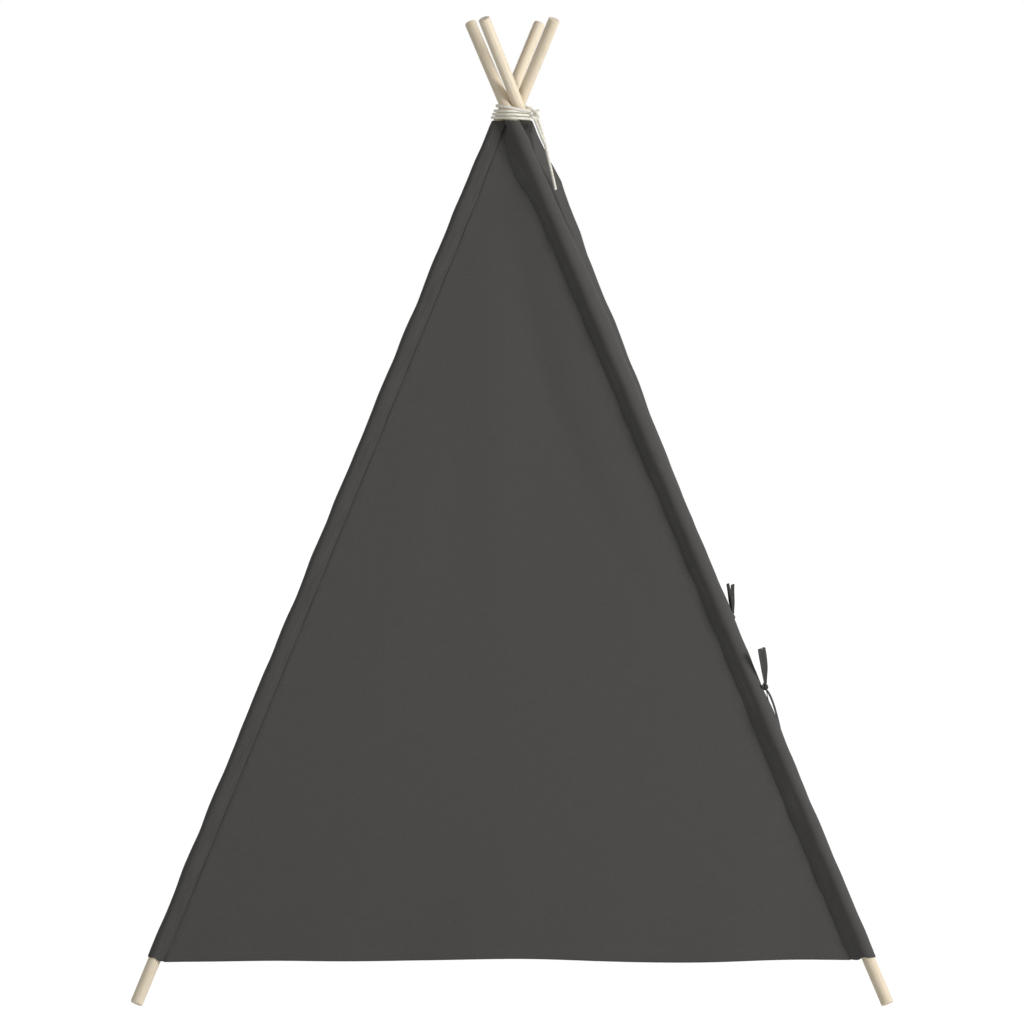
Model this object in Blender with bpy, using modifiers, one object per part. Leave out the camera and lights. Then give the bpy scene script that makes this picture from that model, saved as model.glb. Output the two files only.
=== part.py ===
# A four-pole play teepee: jointed wooden poles lashed together near the top, a cloth
# cover of four walls with a pocket at every corner, and a door of two flaps with ties.
# Metres, +Z up. The door faces +X. The floor is z = 0 and the origin is its centre.
import math

import bmesh
import bpy
import numpy as np
from mathutils import Matrix, Vector

MM = 0.001

# Poles
POLE_DIAMETER = 20 * MM
POLE_SECTION_LENGTH = 600 * MM
POLE_EDGE_ROUND = 2.2 * MM
HALF_FOOT_SPACING = 585 * MM
CROSSING_HEIGHT = 1414 * MM
POLE_RUNNING_GAP = 0.3 * MM
POLE_SECTIONS = 3
CORNERS = 4
POLE_SIDES = 20

# Tubes that join the pole sections
FERRULE_LENGTH = 80 * MM
FERRULE_WALL = 0.8 * MM
FERRULE_FIT = 0.3 * MM

# Cloth
CLOTH_THICKNESS = 1.0 * MM
SEAM_GAP = 0.4 * MM
POCKET_FIT = 0.5 * MM
POCKET_BOTTOM = 74 * MM
POCKET_TOP_BELOW_CROSSING = 27 * MM
HEM_HEIGHT = 68 * MM
WALL_TOP_BELOW_CROSSING = 60 * MM
FLUSH_SEAM_REACH = 16 * MM
VALLEY_SEAM_REACH = 29 * MM
VALLEY_INSET = 12 * MM
SEAM_TAPER_HEIGHT = 120 * MM
TOP_SEAM_REACH = 12.8 * MM
WALL_SAG = 7 * MM
HEM_WAVE = 1.6 * MM
HEM_WAVES = 5

# Door
SLIT_TOP_HEIGHT = 1090 * MM
DOOR_EDGE_AT_HEM = 34 * MM
SLIT_GAP = 4 * MM
FLAP_TOP_WIDTH = 5 * MM

# Lashing cord
CORD_DIAMETER = 5 * MM
CORD_FIT = 0.4 * MM
CORD_PITCH = 5.7 * MM
LASHING_TURNS = 3
LASHING_BELOW_CROSSING = 14 * MM
POINTS_PER_TURN = 24
KNOT_SIZE = (14 * MM, 18 * MM, 20 * MM)
KNOT_DEGREES = -16
# Marks of the two cord ends, from the underside of the knot.
TAIL_MARKS = {
    "lashing_tail_long": (
        (4.5 * MM, -1 * MM, 0),
        (9.5 * MM, -6 * MM, -16 * MM),
        (16.5 * MM, -11 * MM, -42 * MM),
        (23 * MM, -18 * MM, -70 * MM),
        (29 * MM, -25 * MM, -96 * MM),
        (34 * MM, -31 * MM, -118 * MM),
    ),
    "lashing_tail_short": (
        (-1 * MM, -5 * MM, 0),
        (4.5 * MM, -13 * MM, -14 * MM),
        (11.5 * MM, -20 * MM, -32 * MM),
        (18.5 * MM, -26 * MM, -46 * MM),
    ),
}

# Door ties, flat tape
TIE_HEIGHTS = (475 * MM, 495 * MM)
TAPE_WIDTH = 10 * MM
TAPE_THICKNESS = 1.0 * MM
TIE_KNOT_SIZE = (10 * MM, 11 * MM, 11 * MM)
TIE_END_LENGTH = 64 * MM
TIE_LOOP_LENGTH = 58 * MM
TIE_LOOP_WIDTH = 9 * MM
BAND_PAST_KNOT_DEGREES = 30
BAND_FROM_SEAM_DEGREES = 14
TIE_END_LEAN_SHARE = 0.2
TIE_END_SPREAD_SHARE = 0.6
TIE_END_CURL_SHARE = 0.12

CORNER_NAMES = ("rear_left", "front_left", "front_right", "rear_right")
WALL_NAMES = ("left_panel", "door_panel", "right_panel", "back_panel")


# Geometry of the poles

poleRadius = POLE_DIAMETER / 2
splay = math.atan(math.sqrt(2) * HALF_FOOT_SPACING / CROSSING_HEIGHT)
# Neighbouring poles pass each other one diameter and a running gap apart.
crossOffset = (
    (POLE_DIAMETER + POLE_RUNNING_GAP)
    * math.sqrt(1 + math.cos(splay) ** 2)
    / (2 * math.sqrt(2) * math.cos(splay))
)
pocketRadius = poleRadius + POCKET_FIT + CLOTH_THICKNESS
pocketTop = CROSSING_HEIGHT - POCKET_TOP_BELOW_CROSSING
wallTop = CROSSING_HEIGHT - WALL_TOP_BELOW_CROSSING
lashingHeight = CROSSING_HEIGHT - LASHING_BELOW_CROSSING


def turned(point, corner):
    """A plan point of corner 0, turned a quarter for each corner."""
    angle = corner * 2 * math.pi / CORNERS
    c, s = math.cos(angle), math.sin(angle)
    x, y = point[0], point[1]
    return np.array([c * x - s * y, s * x + c * y])


def rounded_end(height, inward):
    """Profile points of a pole end with its edge rounded; inward is +1 at a foot, -1 at a tip."""
    points = [(0, height)]
    for share in (0, 0.5, 1):
        angle = share * math.pi / 2
        radius = poleRadius - POLE_EDGE_ROUND * (1 - math.sin(angle))
        points.append((radius, height + inward * POLE_EDGE_ROUND * (1 - math.cos(angle))))
    return points


def foot_height():
    """How high the centre of a leaning pole's end lies when its rounded edge is on the floor."""
    return max(r * math.sin(splay) - h * math.cos(splay) for r, h in rounded_end(0, 1))


def pole_line():
    """Foot centre, crossing point and unit direction of the pole of corner 0."""
    foot = Vector((-HALF_FOOT_SPACING, -HALF_FOOT_SPACING, foot_height()))
    crossing = Vector((-crossOffset, crossOffset, CROSSING_HEIGHT))
    return foot, crossing, (crossing - foot).normalized()


FOOT, CROSSING, ALONG = pole_line()
tilt = math.acos(ALONG.z)


def pole_centre(z, corner=0):
    """Where the pole of a corner passes a height, in plan."""
    at = CROSSING + ALONG * ((z - CROSSING.z) / ALONG.z)
    return turned((at.x, at.y), corner)


def reach_of_pole(normal, radius):
    """How far the level section of a tilted round pole of corner 0 reaches along plan normals."""
    plan = np.array([ALONG.x, ALONG.y]) / math.hypot(ALONG.x, ALONG.y)
    lengthwise = normal @ plan
    across = normal @ np.array([-plan[1], plan[0]])
    return radius * np.sqrt((lengthwise / math.cos(tilt)) ** 2 + across**2)


NORMAL_ANGLES = np.linspace(0, 2 * math.pi, 240, endpoint=False)
NORMALS = np.stack([np.cos(NORMAL_ANGLES), np.sin(NORMAL_ANGLES)], axis=1)


def hull_radius(support, angles):
    """Radial reach of the convex outline whose support along each normal is given."""
    facing = np.cos(NORMAL_ANGLES[None, :] - np.asarray(angles)[:, None])
    ratio = np.where(facing > 0.05, support[None, :] / np.maximum(facing, 0.05), np.inf)
    return ratio.min(axis=1)


# Shared builders

def clear_scene():
    for old in list(bpy.data.objects):
        bpy.data.objects.remove(old, do_unlink=True)


def material(name, colour, roughness, metallic=0.0):
    made = bpy.data.materials.new(name)
    made.use_nodes = True
    shader = made.node_tree.nodes["Principled BSDF"]
    shader.inputs["Base Color"].default_value = (*colour, 1)
    shader.inputs["Roughness"].default_value = roughness
    shader.inputs["Metallic"].default_value = metallic
    return made


def mesh_object(name, mesh, slot, collection):
    made = bpy.data.objects.new(name, mesh)
    mesh.materials.append(slot)
    collection.objects.link(made)
    return made


def mesh_from(name, points, faces):
    """A mesh whose faces all point out, from points and faces worked out by a loft."""
    mesh = bpy.data.meshes.new(name)
    mesh.from_pydata([tuple(map(float, p)) for p in points], [], faces)
    shape = bmesh.new()
    shape.from_mesh(mesh)
    bmesh.ops.remove_doubles(shape, verts=shape.verts, dist=SEAM_GAP / 100)
    bmesh.ops.recalc_face_normals(shape, faces=shape.faces)
    shape.to_mesh(mesh)
    shape.free()
    return mesh


def grid_faces(rows, columns, first=0):
    return [
        (
            first + r * columns + c,
            first + r * columns + c + 1,
            first + (r + 1) * columns + c + 1,
            first + (r + 1) * columns + c,
        )
        for r in range(rows - 1)
        for c in range(columns - 1)
    ]


def cord_object(name, route, slot, collection, resolution=1):
    curve = bpy.data.curves.new(name, "CURVE")
    curve.dimensions = "3D"
    curve.bevel_depth = CORD_DIAMETER / 2
    curve.bevel_resolution = resolution
    curve.use_fill_caps = True
    spline = curve.splines.new("POLY")
    spline.points.add(len(route) - 1)
    for point, at in zip(spline.points, route):
        point.co = (*map(float, at), 1)
    return mesh_object(name, curve, slot, collection)


def smooth_route(marks, spacing):
    """Evenly spaced points on a smooth curve through the marks."""
    marks = np.array(marks, float)
    ends = np.vstack([2 * marks[0] - marks[1], marks, 2 * marks[-1] - marks[-2]])
    fine = []
    for a, b, c, d in zip(ends, ends[1:], ends[2:], ends[3:]):
        t = np.linspace(0, 1, 24, endpoint=False)[:, None]
        fine.append(
            0.5
            * (
                2 * b
                + (c - a) * t
                + (2 * a - 5 * b + 4 * c - d) * t**2
                + (3 * b - a - 3 * c + d) * t**3
            )
        )
    fine = np.vstack([*fine, marks[-1:]])
    run = np.concatenate([[0], np.cumsum(np.linalg.norm(np.diff(fine, axis=0), axis=1))])
    count = max(4, round(run[-1] / spacing) + 1)
    wanted = np.linspace(0, run[-1], count)
    return np.stack([np.interp(wanted, run, fine[:, axis]) for axis in range(3)], axis=1)


# Poles

def turned_piece(name, profile, slot, collection, steps):
    """A profile of (radius, height) points, top to bottom, turned about the Z axis."""
    mesh = bpy.data.meshes.new(name)
    edges = [(i, i + 1) for i in range(len(profile) - 1)]
    mesh.from_pydata([(r, 0, z) for r, z in profile], edges, [])
    made = mesh_object(name, mesh, slot, collection)
    screw = made.modifiers.new("turn", "SCREW")
    screw.axis = "Z"
    screw.steps = steps
    screw.render_steps = steps
    screw.use_merge_vertices = True
    screw.merge_threshold = SEAM_GAP / 100
    screw.use_smooth_shade = True
    return made


def spigot(height, away):
    """Profile points of the turned-down end that sits in a ferrule; away is -1 below the joint."""
    radius = poleRadius - FERRULE_WALL - FERRULE_FIT
    shoulder = height + away * (FERRULE_LENGTH / 2 + FERRULE_FIT)
    end = height + away * FERRULE_FIT / 2
    return [(0, end), (radius, end), (radius, shoulder), (poleRadius, shoulder)]


def pole_section(index):
    """Profile of one wooden section, top to bottom, heights measured from the foot."""
    low = index * POLE_SECTION_LENGTH
    high = low + POLE_SECTION_LENGTH
    top = rounded_end(high, -1) if index == POLE_SECTIONS - 1 else spigot(high, -1)
    bottom = rounded_end(low, 1) if index == 0 else spigot(low, 1)
    return top + bottom[::-1]


def ferrule_profile(joint):
    middle = joint * POLE_SECTION_LENGTH
    half = FERRULE_LENGTH / 2
    inner = poleRadius - FERRULE_WALL
    loop = [
        (poleRadius, middle + half),
        (poleRadius, middle - half),
        (inner, middle - half),
        (inner, middle + half),
    ]
    return loop + loop[:1]


def fold_frame(corner):
    """An empty at the crossing of one pole, its Z axis up the pole and its X axis the fold axis."""
    point = turned((CROSSING.x, CROSSING.y), corner)
    plan = turned((ALONG.x, ALONG.y), corner)
    up = Vector((*plan, ALONG.z)).normalized()
    axis = Vector((up.y, -up.x, 0)).normalized()
    side = up.cross(axis)
    frame = Matrix((axis, side, up)).transposed().to_4x4()
    frame.translation = Vector((*point, CROSSING.z))
    return frame


def build_pole(corner, slots, collection):
    name = CORNER_NAMES[corner]
    pivot = bpy.data.objects.new(f"fold_axis_{name}", None)
    pivot.empty_display_size = POLE_DIAMETER
    pivot.matrix_world = fold_frame(corner)
    collection.objects.link(pivot)
    below = (CROSSING - FOOT).length
    pieces = []
    for index, place in enumerate(("lower", "middle", "upper")):
        pieces.append(
            turned_piece(
                f"pole_{name}_{place}", pole_section(index), slots["wood"], collection, POLE_SIDES
            )
        )
    for joint, place in ((1, "lower"), (2, "upper")):
        pieces.append(
            turned_piece(
                f"ferrule_{name}_{place}",
                ferrule_profile(joint),
                slots["metal"],
                collection,
                POLE_SIDES,
            )
        )
    for piece in pieces:
        piece.parent = pivot
        piece.location = (0, 0, -below)
    return pivot


# Cover

def seam_reach(full, z):
    """How far a pocket's seam lies from its pole: in full low down, drawn in towards the top."""
    share = np.clip((wallTop - z) / SEAM_TAPER_HEIGHT, 0, 1)
    return TOP_SEAM_REACH + (full - TOP_SEAM_REACH) * share


def pocket_front():
    """How far a pocket stands out from its pole's centre, square to a wall, in plan."""
    return float(reach_of_pole(np.array([[0.0, -1.0]]), pocketRadius)[0])


def flush_seam(z):
    """Plan point of the seam where a pocket runs flush into the wall on its right, from the pole."""
    return np.array([seam_reach(FLUSH_SEAM_REACH, z), -pocket_front()])


def valley_seam(z):
    """Plan point of the seam in the valley where the wall on a pocket's left ends, from the pole."""
    inset = VALLEY_INSET * np.clip((wallTop - z) / SEAM_TAPER_HEIGHT, 0, 1)
    return np.array([-pocket_front() + inset, seam_reach(VALLEY_SEAM_REACH, z)])


def pocket_ring(z, radius, shorten):
    """Closed plan outline of the pocket of corner 0 about its pole, with its two seam tails."""
    tails = [flush_seam(z), valley_seam(z)]
    tails = [t * (1 - shorten / np.linalg.norm(t)) for t in tails]
    support = reach_of_pole(NORMALS, radius)
    for tail in tails:
        support = np.maximum(support, NORMALS @ tail)
    even = np.linspace(0, 2 * math.pi, 22, endpoint=False)
    at_tails = [math.atan2(t[1], t[0]) % (2 * math.pi) for t in tails]
    # An even angle beside a tail gives way to it, so that the count never changes.
    for tail in at_tails:
        beside = np.abs((even - tail + math.pi) % (2 * math.pi) - math.pi)
        even[beside.argmin()] = tail
    reach = hull_radius(support, even)
    return np.stack([reach * np.cos(even), reach * np.sin(even)], axis=1)


def build_pocket(corner, slots, collection):
    """The sleeve that a pole stands in: a teardrop tube lofted from its foot end to its top."""
    heights = np.concatenate(
        [
            np.linspace(POCKET_BOTTOM, wallTop - SEAM_TAPER_HEIGHT, 5),
            np.linspace(wallTop - SEAM_TAPER_HEIGHT, pocketTop, 5)[1:],
        ]
    )
    points, count = [], 0
    for inner in (False, True):
        radius = pocketRadius - (CLOTH_THICKNESS if inner else 0)
        shorten = 3 * CLOTH_THICKNESS if inner else 0
        for z in heights:
            ring = pocket_ring(z, radius, shorten)
            count = len(ring)
            centre = pole_centre(z)
            for x, y in ring + centre:
                points.append((*turned((x, y), corner), z))
    rows = len(heights)
    faces = []
    for shell in (0, rows * count):
        for r in range(rows - 1):
            for c in range(count):
                d = (c + 1) % count
                a = shell + r * count
                faces.append((a + c, a + d, a + count + d, a + count + c))
    for r in (0, rows - 1):
        for c in range(count):
            d = (c + 1) % count
            a, b = r * count, (rows + r) * count
            faces.append((a + c, a + d, b + d, b + c))
    name = f"pole_sleeve_{CORNER_NAMES[corner]}"
    return mesh_object(name, mesh_from(name, points, faces), slots["cloth"], collection)


def wall_edges(z, wall):
    """The two ends of a wall's outer line at a height: its flush end and its valley end."""
    left = pole_centre(z) + flush_seam(z) + np.array([SEAM_GAP, 0])
    valley = valley_seam(z)
    right_local = np.array([-valley[1] - SEAM_GAP - CLOTH_THICKNESS / 2, valley[0]])
    right = pole_centre(z, 1) + right_local
    return turned(left, wall), turned(right, wall)


def wall_point(u, v, wall):
    """A point of a wall's outer face: u across from 0 to 1, v up from the hem to the top."""
    wave = HEM_WAVE * math.sin(2 * math.pi * HEM_WAVES * u / 2) * (1 - v) ** 6
    z = HEM_HEIGHT + v * (wallTop - HEM_HEIGHT) + wave
    left, right = wall_edges(z, wall)
    at = left + u * (right - left)
    inward = turned((0, 1), wall)
    at = at + inward * WALL_SAG * math.sin(math.pi * u) * (1 - v) ** 0.5
    return (at[0], at[1], z)


def cloth_sheet(name, points, faces, slot, collection, outward):
    """An open sheet given the cloth's thickness on its inner side."""
    mesh = bpy.data.meshes.new(name)
    mesh.from_pydata([tuple(map(float, p)) for p in points], [], faces)
    shape = bmesh.new()
    shape.from_mesh(mesh)
    bmesh.ops.remove_doubles(shape, verts=shape.verts, dist=SEAM_GAP / 100)
    bmesh.ops.recalc_face_normals(shape, faces=shape.faces)
    facing = sum((f.normal * f.calc_area() for f in shape.faces), Vector())
    if facing.xy.dot(Vector(outward)) < 0:
        bmesh.ops.reverse_faces(shape, faces=shape.faces)
    shape.to_mesh(mesh)
    shape.free()
    mesh.shade_smooth()
    made = mesh_object(name, mesh, slot, collection)
    thick = made.modifiers.new("cloth", "SOLIDIFY")
    thick.thickness = CLOTH_THICKNESS
    thick.offset = -1
    return made


taperShare = 1 - SEAM_TAPER_HEIGHT / (wallTop - HEM_HEIGHT)


def build_wall(wall, slots, collection):
    # One row lies where the seams start to draw in, so that wall and pocket meet all along.
    rows = [*np.linspace(0, taperShare, 9), *np.linspace(taperShare, 1, 3)[1:]]
    columns = 11
    points = [wall_point(c / (columns - 1), v, wall) for v in rows for c in range(columns)]
    return cloth_sheet(
        WALL_NAMES[wall],
        points,
        grid_faces(len(rows), columns),
        slots["cloth"],
        collection,
        turned((0, -1), wall),
    )


DOOR_WALL = WALL_NAMES.index("door_panel")
slitTopShare = (SLIT_TOP_HEIGHT - HEM_HEIGHT) / (wallTop - HEM_HEIGHT)


def width_at(v):
    z = HEM_HEIGHT + v * (wallTop - HEM_HEIGHT)
    left, right = wall_edges(z, DOOR_WALL)
    return float(np.linalg.norm(right - left))


def door_edge(v):
    """Share of the door wall's width from its end to the fold line of the flap."""
    if v >= slitTopShare:
        return 0.5
    # The doorway narrows evenly from the hem to the slit's top.
    half_doorway = (0.5 * width_at(0) - DOOR_EDGE_AT_HEM) * (1 - v / slitTopShare)
    return 0.5 - half_doorway / width_at(v)


def build_door_wall(slots, collection):
    """The gable over the door and the strip down each side of it, one sheet."""
    gable = [(slitTopShare + taperShare) / 2, taperShare, (taperShare + 1) / 2, 1]
    rows = [*np.linspace(0, slitTopShare, 9), *gable]
    columns = 5
    points, faces = [], []
    for side in (0, 1):
        first = len(points)
        for v in rows:
            edge = door_edge(v)
            for c in range(columns):
                u = edge * c / (columns - 1)
                points.append(wall_point(1 - u if side else u, v, DOOR_WALL))
        faces += grid_faces(len(rows), columns, first)
    return cloth_sheet(
        "door_panel", points, faces, slots["cloth"], collection, turned((0, -1), DOOR_WALL)
    )


def build_flap(side, slots, collection):
    """One door flap, from its fold line to the slit; side 0 is the left one."""
    top = slitTopShare * (1 - FLAP_TOP_WIDTH / (0.5 * width_at(0) - DOOR_EDGE_AT_HEM))
    rows, columns = 10, 6
    points = []
    for r in range(rows):
        v = top * r / (rows - 1)
        width = width_at(v)
        low = door_edge(v) + 2 * SEAM_GAP / width
        high = 0.5 - SLIT_GAP / 2 / width
        low = min(low, high - SEAM_GAP / width)
        for c in range(columns):
            u = low + (high - low) * c / (columns - 1)
            points.append(wall_point(1 - u if side else u, v, DOOR_WALL))
    name = ("door_flap_left", "door_flap_right")[side]
    return cloth_sheet(
        name,
        points,
        grid_faces(rows, columns),
        slots["cloth"],
        collection,
        turned((0, -1), DOOR_WALL),
    )


def flap_axis(side):
    """Two points on a flap's fold line, on the outer face, low and high."""
    ends = []
    for v in (0, slitTopShare * (1 - FLAP_TOP_WIDTH / width_at(0))):
        u = door_edge(v) + SEAM_GAP / width_at(v)
        ends.append(Vector(wall_point(1 - u if side else u, v, DOOR_WALL)))
    return ends


# Lashing

def bundle_reach(z, angles, margin):
    """Radial reach of the outline round all four poles at a height, kept a margin off them."""
    supports = []
    for corner in range(CORNERS):
        centre = pole_centre(z, corner)
        back = np.stack([turned(n, -corner) for n in NORMALS])
        supports.append(NORMALS @ centre + reach_of_pole(back, poleRadius))
    return hull_radius(np.max(supports, axis=0) + margin, angles)


def winding_route():
    """Points of the cord wound round the four poles, rising one pitch a turn."""
    total = LASHING_TURNS * POINTS_PER_TURN
    start = math.radians(-20)
    bottom = lashingHeight - CORD_PITCH * LASHING_TURNS / 2
    margin = CORD_DIAMETER / 2 + CORD_FIT
    route = []
    for i in range(total + 1):
        angle = start + 2 * math.pi * i / POINTS_PER_TURN
        z = bottom + CORD_PITCH * i / POINTS_PER_TURN
        near = [z - CORD_DIAMETER / 2, z, z + CORD_DIAMETER / 2]
        radius = max(float(bundle_reach(h, [angle], margin)[0]) for h in near)
        radius /= math.cos(math.pi / POINTS_PER_TURN)
        route.append((radius * math.cos(angle), radius * math.sin(angle), z))
    return np.array(route)


def report_least_gap(route, name):
    """Prints the least gap between turns of a wound tube, measured on its centre line."""
    least = min(
        float(np.linalg.norm(a - b))
        for i, a in enumerate(route)
        for b in route[i + POINTS_PER_TURN // 2 :]
    )
    print(f"{name}: least gap to itself {(least - CORD_DIAMETER) / MM:.2f} mm")


def knot_mesh(name, size):
    """A soft lump from a subdivided box, pinched round its waist."""
    shape = bmesh.new()
    bmesh.ops.create_cube(shape, size=1)
    bmesh.ops.subdivide_edges(shape, edges=shape.edges, cuts=2, use_grid_fill=True)
    for vert in shape.verts:
        vert.co = vert.co.normalized() * 0.5
        pinch = 1 - 0.18 * math.exp(-((vert.co.z / 0.12) ** 2))
        vert.co.x *= pinch
    for axis in range(3):
        reach = max(abs(vert.co[axis]) for vert in shape.verts)
        for vert in shape.verts:
            vert.co[axis] *= size[axis] / 2 / reach
    mesh = bpy.data.meshes.new(name)
    shape.to_mesh(mesh)
    shape.free()
    mesh.shade_smooth()
    return mesh


def build_lashing(slots, collection):
    route = winding_route()
    report_least_gap(route, "lashing")
    cord_object("lashing_winding", route, slots["cord"], collection)
    angle = math.radians(KNOT_DEGREES)
    reach = float(bundle_reach(lashingHeight, [angle], CORD_DIAMETER + 2 * CORD_FIT)[0])
    seat = reach + KNOT_SIZE[0] / 2 + 2 * CORD_FIT
    knot = mesh_object(
        "lashing_knot", knot_mesh("lashing_knot", KNOT_SIZE), slots["cord"], collection
    )
    knot.location = (seat * math.cos(angle), seat * math.sin(angle), lashingHeight)
    knot.rotation_euler = (0, 0, angle)
    return Vector(knot.location)


def build_tails(knot_at, slots, collection):
    """The two free ends of the lashing cord, hanging from its knot over the cover."""
    below = KNOT_SIZE[2] / 2 + CORD_FIT
    for name, marks in TAIL_MARKS.items():
        start = knot_at + Vector((0, 0, -below))
        route = [start + Vector(m) for m in marks]
        spaced = smooth_route(route, 2 * CORD_DIAMETER)
        cord_object(name, spaced, slots["cord"], collection, resolution=2)


# Door ties

def strip_solid(name, centre_line, sideways, slot, collection):
    """A flat tape of the tape's width and thickness along a line; sideways gives its width."""
    line = np.array(centre_line, float)
    side = np.array(sideways, float)
    along = np.gradient(line, axis=0)
    along /= np.linalg.norm(along, axis=1)[:, None]
    side = side - (side * along).sum(1)[:, None] * along
    side /= np.linalg.norm(side, axis=1)[:, None]
    face = np.cross(along, side)
    half, thick = TAPE_WIDTH / 2, TAPE_THICKNESS / 2
    rings = [
        line + side * half * a + face * thick * b for a, b in ((-1, -1), (1, -1), (1, 1), (-1, 1))
    ]
    points = np.stack(rings, axis=1).reshape(-1, 3)
    faces = [
        (4 * r + c, 4 * r + (c + 1) % 4, 4 * r + 4 + (c + 1) % 4, 4 * r + 4 + c)
        for r in range(len(line) - 1)
        for c in range(4)
    ]
    last = 4 * (len(line) - 1)
    faces += [(0, 1, 2, 3), (last, last + 1, last + 2, last + 3)]
    return mesh_object(name, mesh_from(name, points, faces), slot, collection)


def band_route(corner, side, height):
    """The tape on a pocket, between the seam beside the door and just past the tie's knot."""
    lift = TAPE_THICKNESS / 2 + SEAM_GAP
    tails = [flush_seam(height), valley_seam(height)]
    support = reach_of_pole(NORMALS, pocketRadius)
    for tail in tails:
        support = np.maximum(support, NORMALS @ tail)
    at_flush, at_valley = (math.atan2(t[1], t[0]) % (2 * math.pi) for t in tails)
    at_knot = -corner * math.pi / 2 % (2 * math.pi)
    past_knot = math.radians(BAND_PAST_KNOT_DEGREES)
    from_seam = math.radians(BAND_FROM_SEAM_DEGREES)
    # The left tie is sewn in at the flush seam of its pocket, the right one at the valley seam.
    ends = (at_knot - past_knot, at_flush - from_seam)
    if side == 1:
        ends = (at_valley + from_seam, at_knot + past_knot)
    angles = np.linspace(*ends, 8)
    reach = hull_radius(support + lift, angles)
    centre = pole_centre(height)
    return [
        Vector((*turned(centre + r * np.array([math.cos(a), math.sin(a)]), corner), height))
        for a, r in zip(angles, reach)
    ]


def up_lean(up):
    """The plan lean of a pole for each metre of rise."""
    return Vector((up.x, up.y, 0)) / up.z


def build_tie(corner, side, slots, collection):
    """A door tie: the tape on the pocket, its knot, two standing ends and a hanging loop."""
    name = ("door_tie_left", "door_tie_right")[side]
    height = TIE_HEIGHTS[side]
    route = band_route(corner, side, height)
    up = Vector((*turned((ALONG.x, ALONG.y), corner), ALONG.z)).normalized()
    strip_solid(f"{name}_band", route, [up] * len(route), slots["tape"], collection)
    outward = Vector((*turned((-1, -1), corner), 0)).normalized()
    # The knot sits on the band where the pocket faces away from the door.
    centre = Vector((*pole_centre(height, corner), height))
    facing = Vector((1, 0, 0))
    reach = pocket_front() + TAPE_THICKNESS + 4 * SEAM_GAP + TIE_KNOT_SIZE[0] / 2
    at = centre + facing * reach
    knot = mesh_object(
        f"{name}_knot", knot_mesh(f"{name}_knot", TIE_KNOT_SIZE), slots["tape"], collection
    )
    knot.location = at
    away = (facing + outward * 0.3).normalized()
    across = away.cross(Vector((0, 0, 1))).normalized()
    rise = TIE_KNOT_SIZE[2] / 2 + SEAM_GAP
    for index, lean in enumerate((-1, 1)):
        start = at + Vector((0, 0, rise)) + across * lean * (TAPE_THICKNESS + SEAM_GAP)
        line = [
            start
            + Vector((0, 0, TIE_END_LENGTH * s * (1 - TIE_END_CURL_SHARE * s)))
            + up_lean(up) * TIE_END_LENGTH * TIE_END_LEAN_SHARE * s
            + across * lean * TAPE_WIDTH * TIE_END_SPREAD_SHARE * s
            for s in np.linspace(0, 1, 6)
        ]
        strip_solid(
            f"{name}_end_{'ab'[index]}", line, [away] * len(line), slots["tape"], collection
        )
    loop = []
    for s in np.linspace(0, 1, 15):
        turn = s * 2 * math.pi
        drop = -rise - TIE_LOOP_LENGTH * (1 - math.cos(turn)) / 2
        swing = TIE_LOOP_WIDTH * math.sin(turn) / 2
        spread = (TAPE_THICKNESS + SEAM_GAP) * (2 * s - 1)
        loop.append(
            at
            + Vector((0, 0, drop))
            + facing * (swing + spread)
            + up_lean(up) * drop
        )
    strip_solid(f"{name}_loop", loop, [across] * len(loop), slots["tape"], collection)


def main():
    clear_scene()
    teepee = bpy.data.collections.new("kids_teepee")
    bpy.context.scene.collection.children.link(teepee)
    slots = {
        "wood": material("pale_pine", (0.75, 0.62, 0.44), 0.6),
        "metal": material("bright_steel", (0.72, 0.72, 0.72), 0.35, 1.0),
        "cloth": material("charcoal_canvas", (0.075, 0.073, 0.067), 0.95),
        "cord": material("cream_cord", (0.78, 0.72, 0.62), 0.9),
        "tape": material("charcoal_tape", (0.09, 0.088, 0.082), 0.9),
    }
    for corner in range(CORNERS):
        build_pole(corner, slots, teepee)
        build_pocket(corner, slots, teepee)
    for wall in range(CORNERS):
        if wall != DOOR_WALL:
            build_wall(wall, slots, teepee)
    build_door_wall(slots, teepee)
    for side in (0, 1):
        build_flap(side, slots, teepee)
    knot_at = build_lashing(slots, teepee)
    build_tails(knot_at, slots, teepee)
    for side, corner in enumerate((1, 2)):
        build_tie(corner, side, slots, teepee)
    bpy.context.view_layer.update()


main()
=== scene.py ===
# Play teepee, dressed: canvas walls and sleeves, door flaps with tape ties, cord lashing, pine poles.
import math

import bpy
import numpy as np
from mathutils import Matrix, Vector


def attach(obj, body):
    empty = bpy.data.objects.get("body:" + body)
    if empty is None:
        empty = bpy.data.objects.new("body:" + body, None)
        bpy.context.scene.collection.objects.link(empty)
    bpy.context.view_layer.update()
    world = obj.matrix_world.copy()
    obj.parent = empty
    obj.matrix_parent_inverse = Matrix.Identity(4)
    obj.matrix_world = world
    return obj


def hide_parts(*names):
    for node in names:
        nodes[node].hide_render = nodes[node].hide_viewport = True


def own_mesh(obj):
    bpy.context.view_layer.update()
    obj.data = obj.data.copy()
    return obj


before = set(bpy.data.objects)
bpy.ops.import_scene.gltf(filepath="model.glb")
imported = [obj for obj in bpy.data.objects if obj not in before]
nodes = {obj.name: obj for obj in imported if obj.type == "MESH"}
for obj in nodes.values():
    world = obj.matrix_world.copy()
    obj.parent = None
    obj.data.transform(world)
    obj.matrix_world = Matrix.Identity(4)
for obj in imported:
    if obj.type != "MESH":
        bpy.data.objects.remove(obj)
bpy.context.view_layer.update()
cornerNames = ("rear_left", "front_left", "front_right", "rear_right")
wallNames = ("left_panel", "door_panel", "right_panel", "back_panel")
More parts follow.
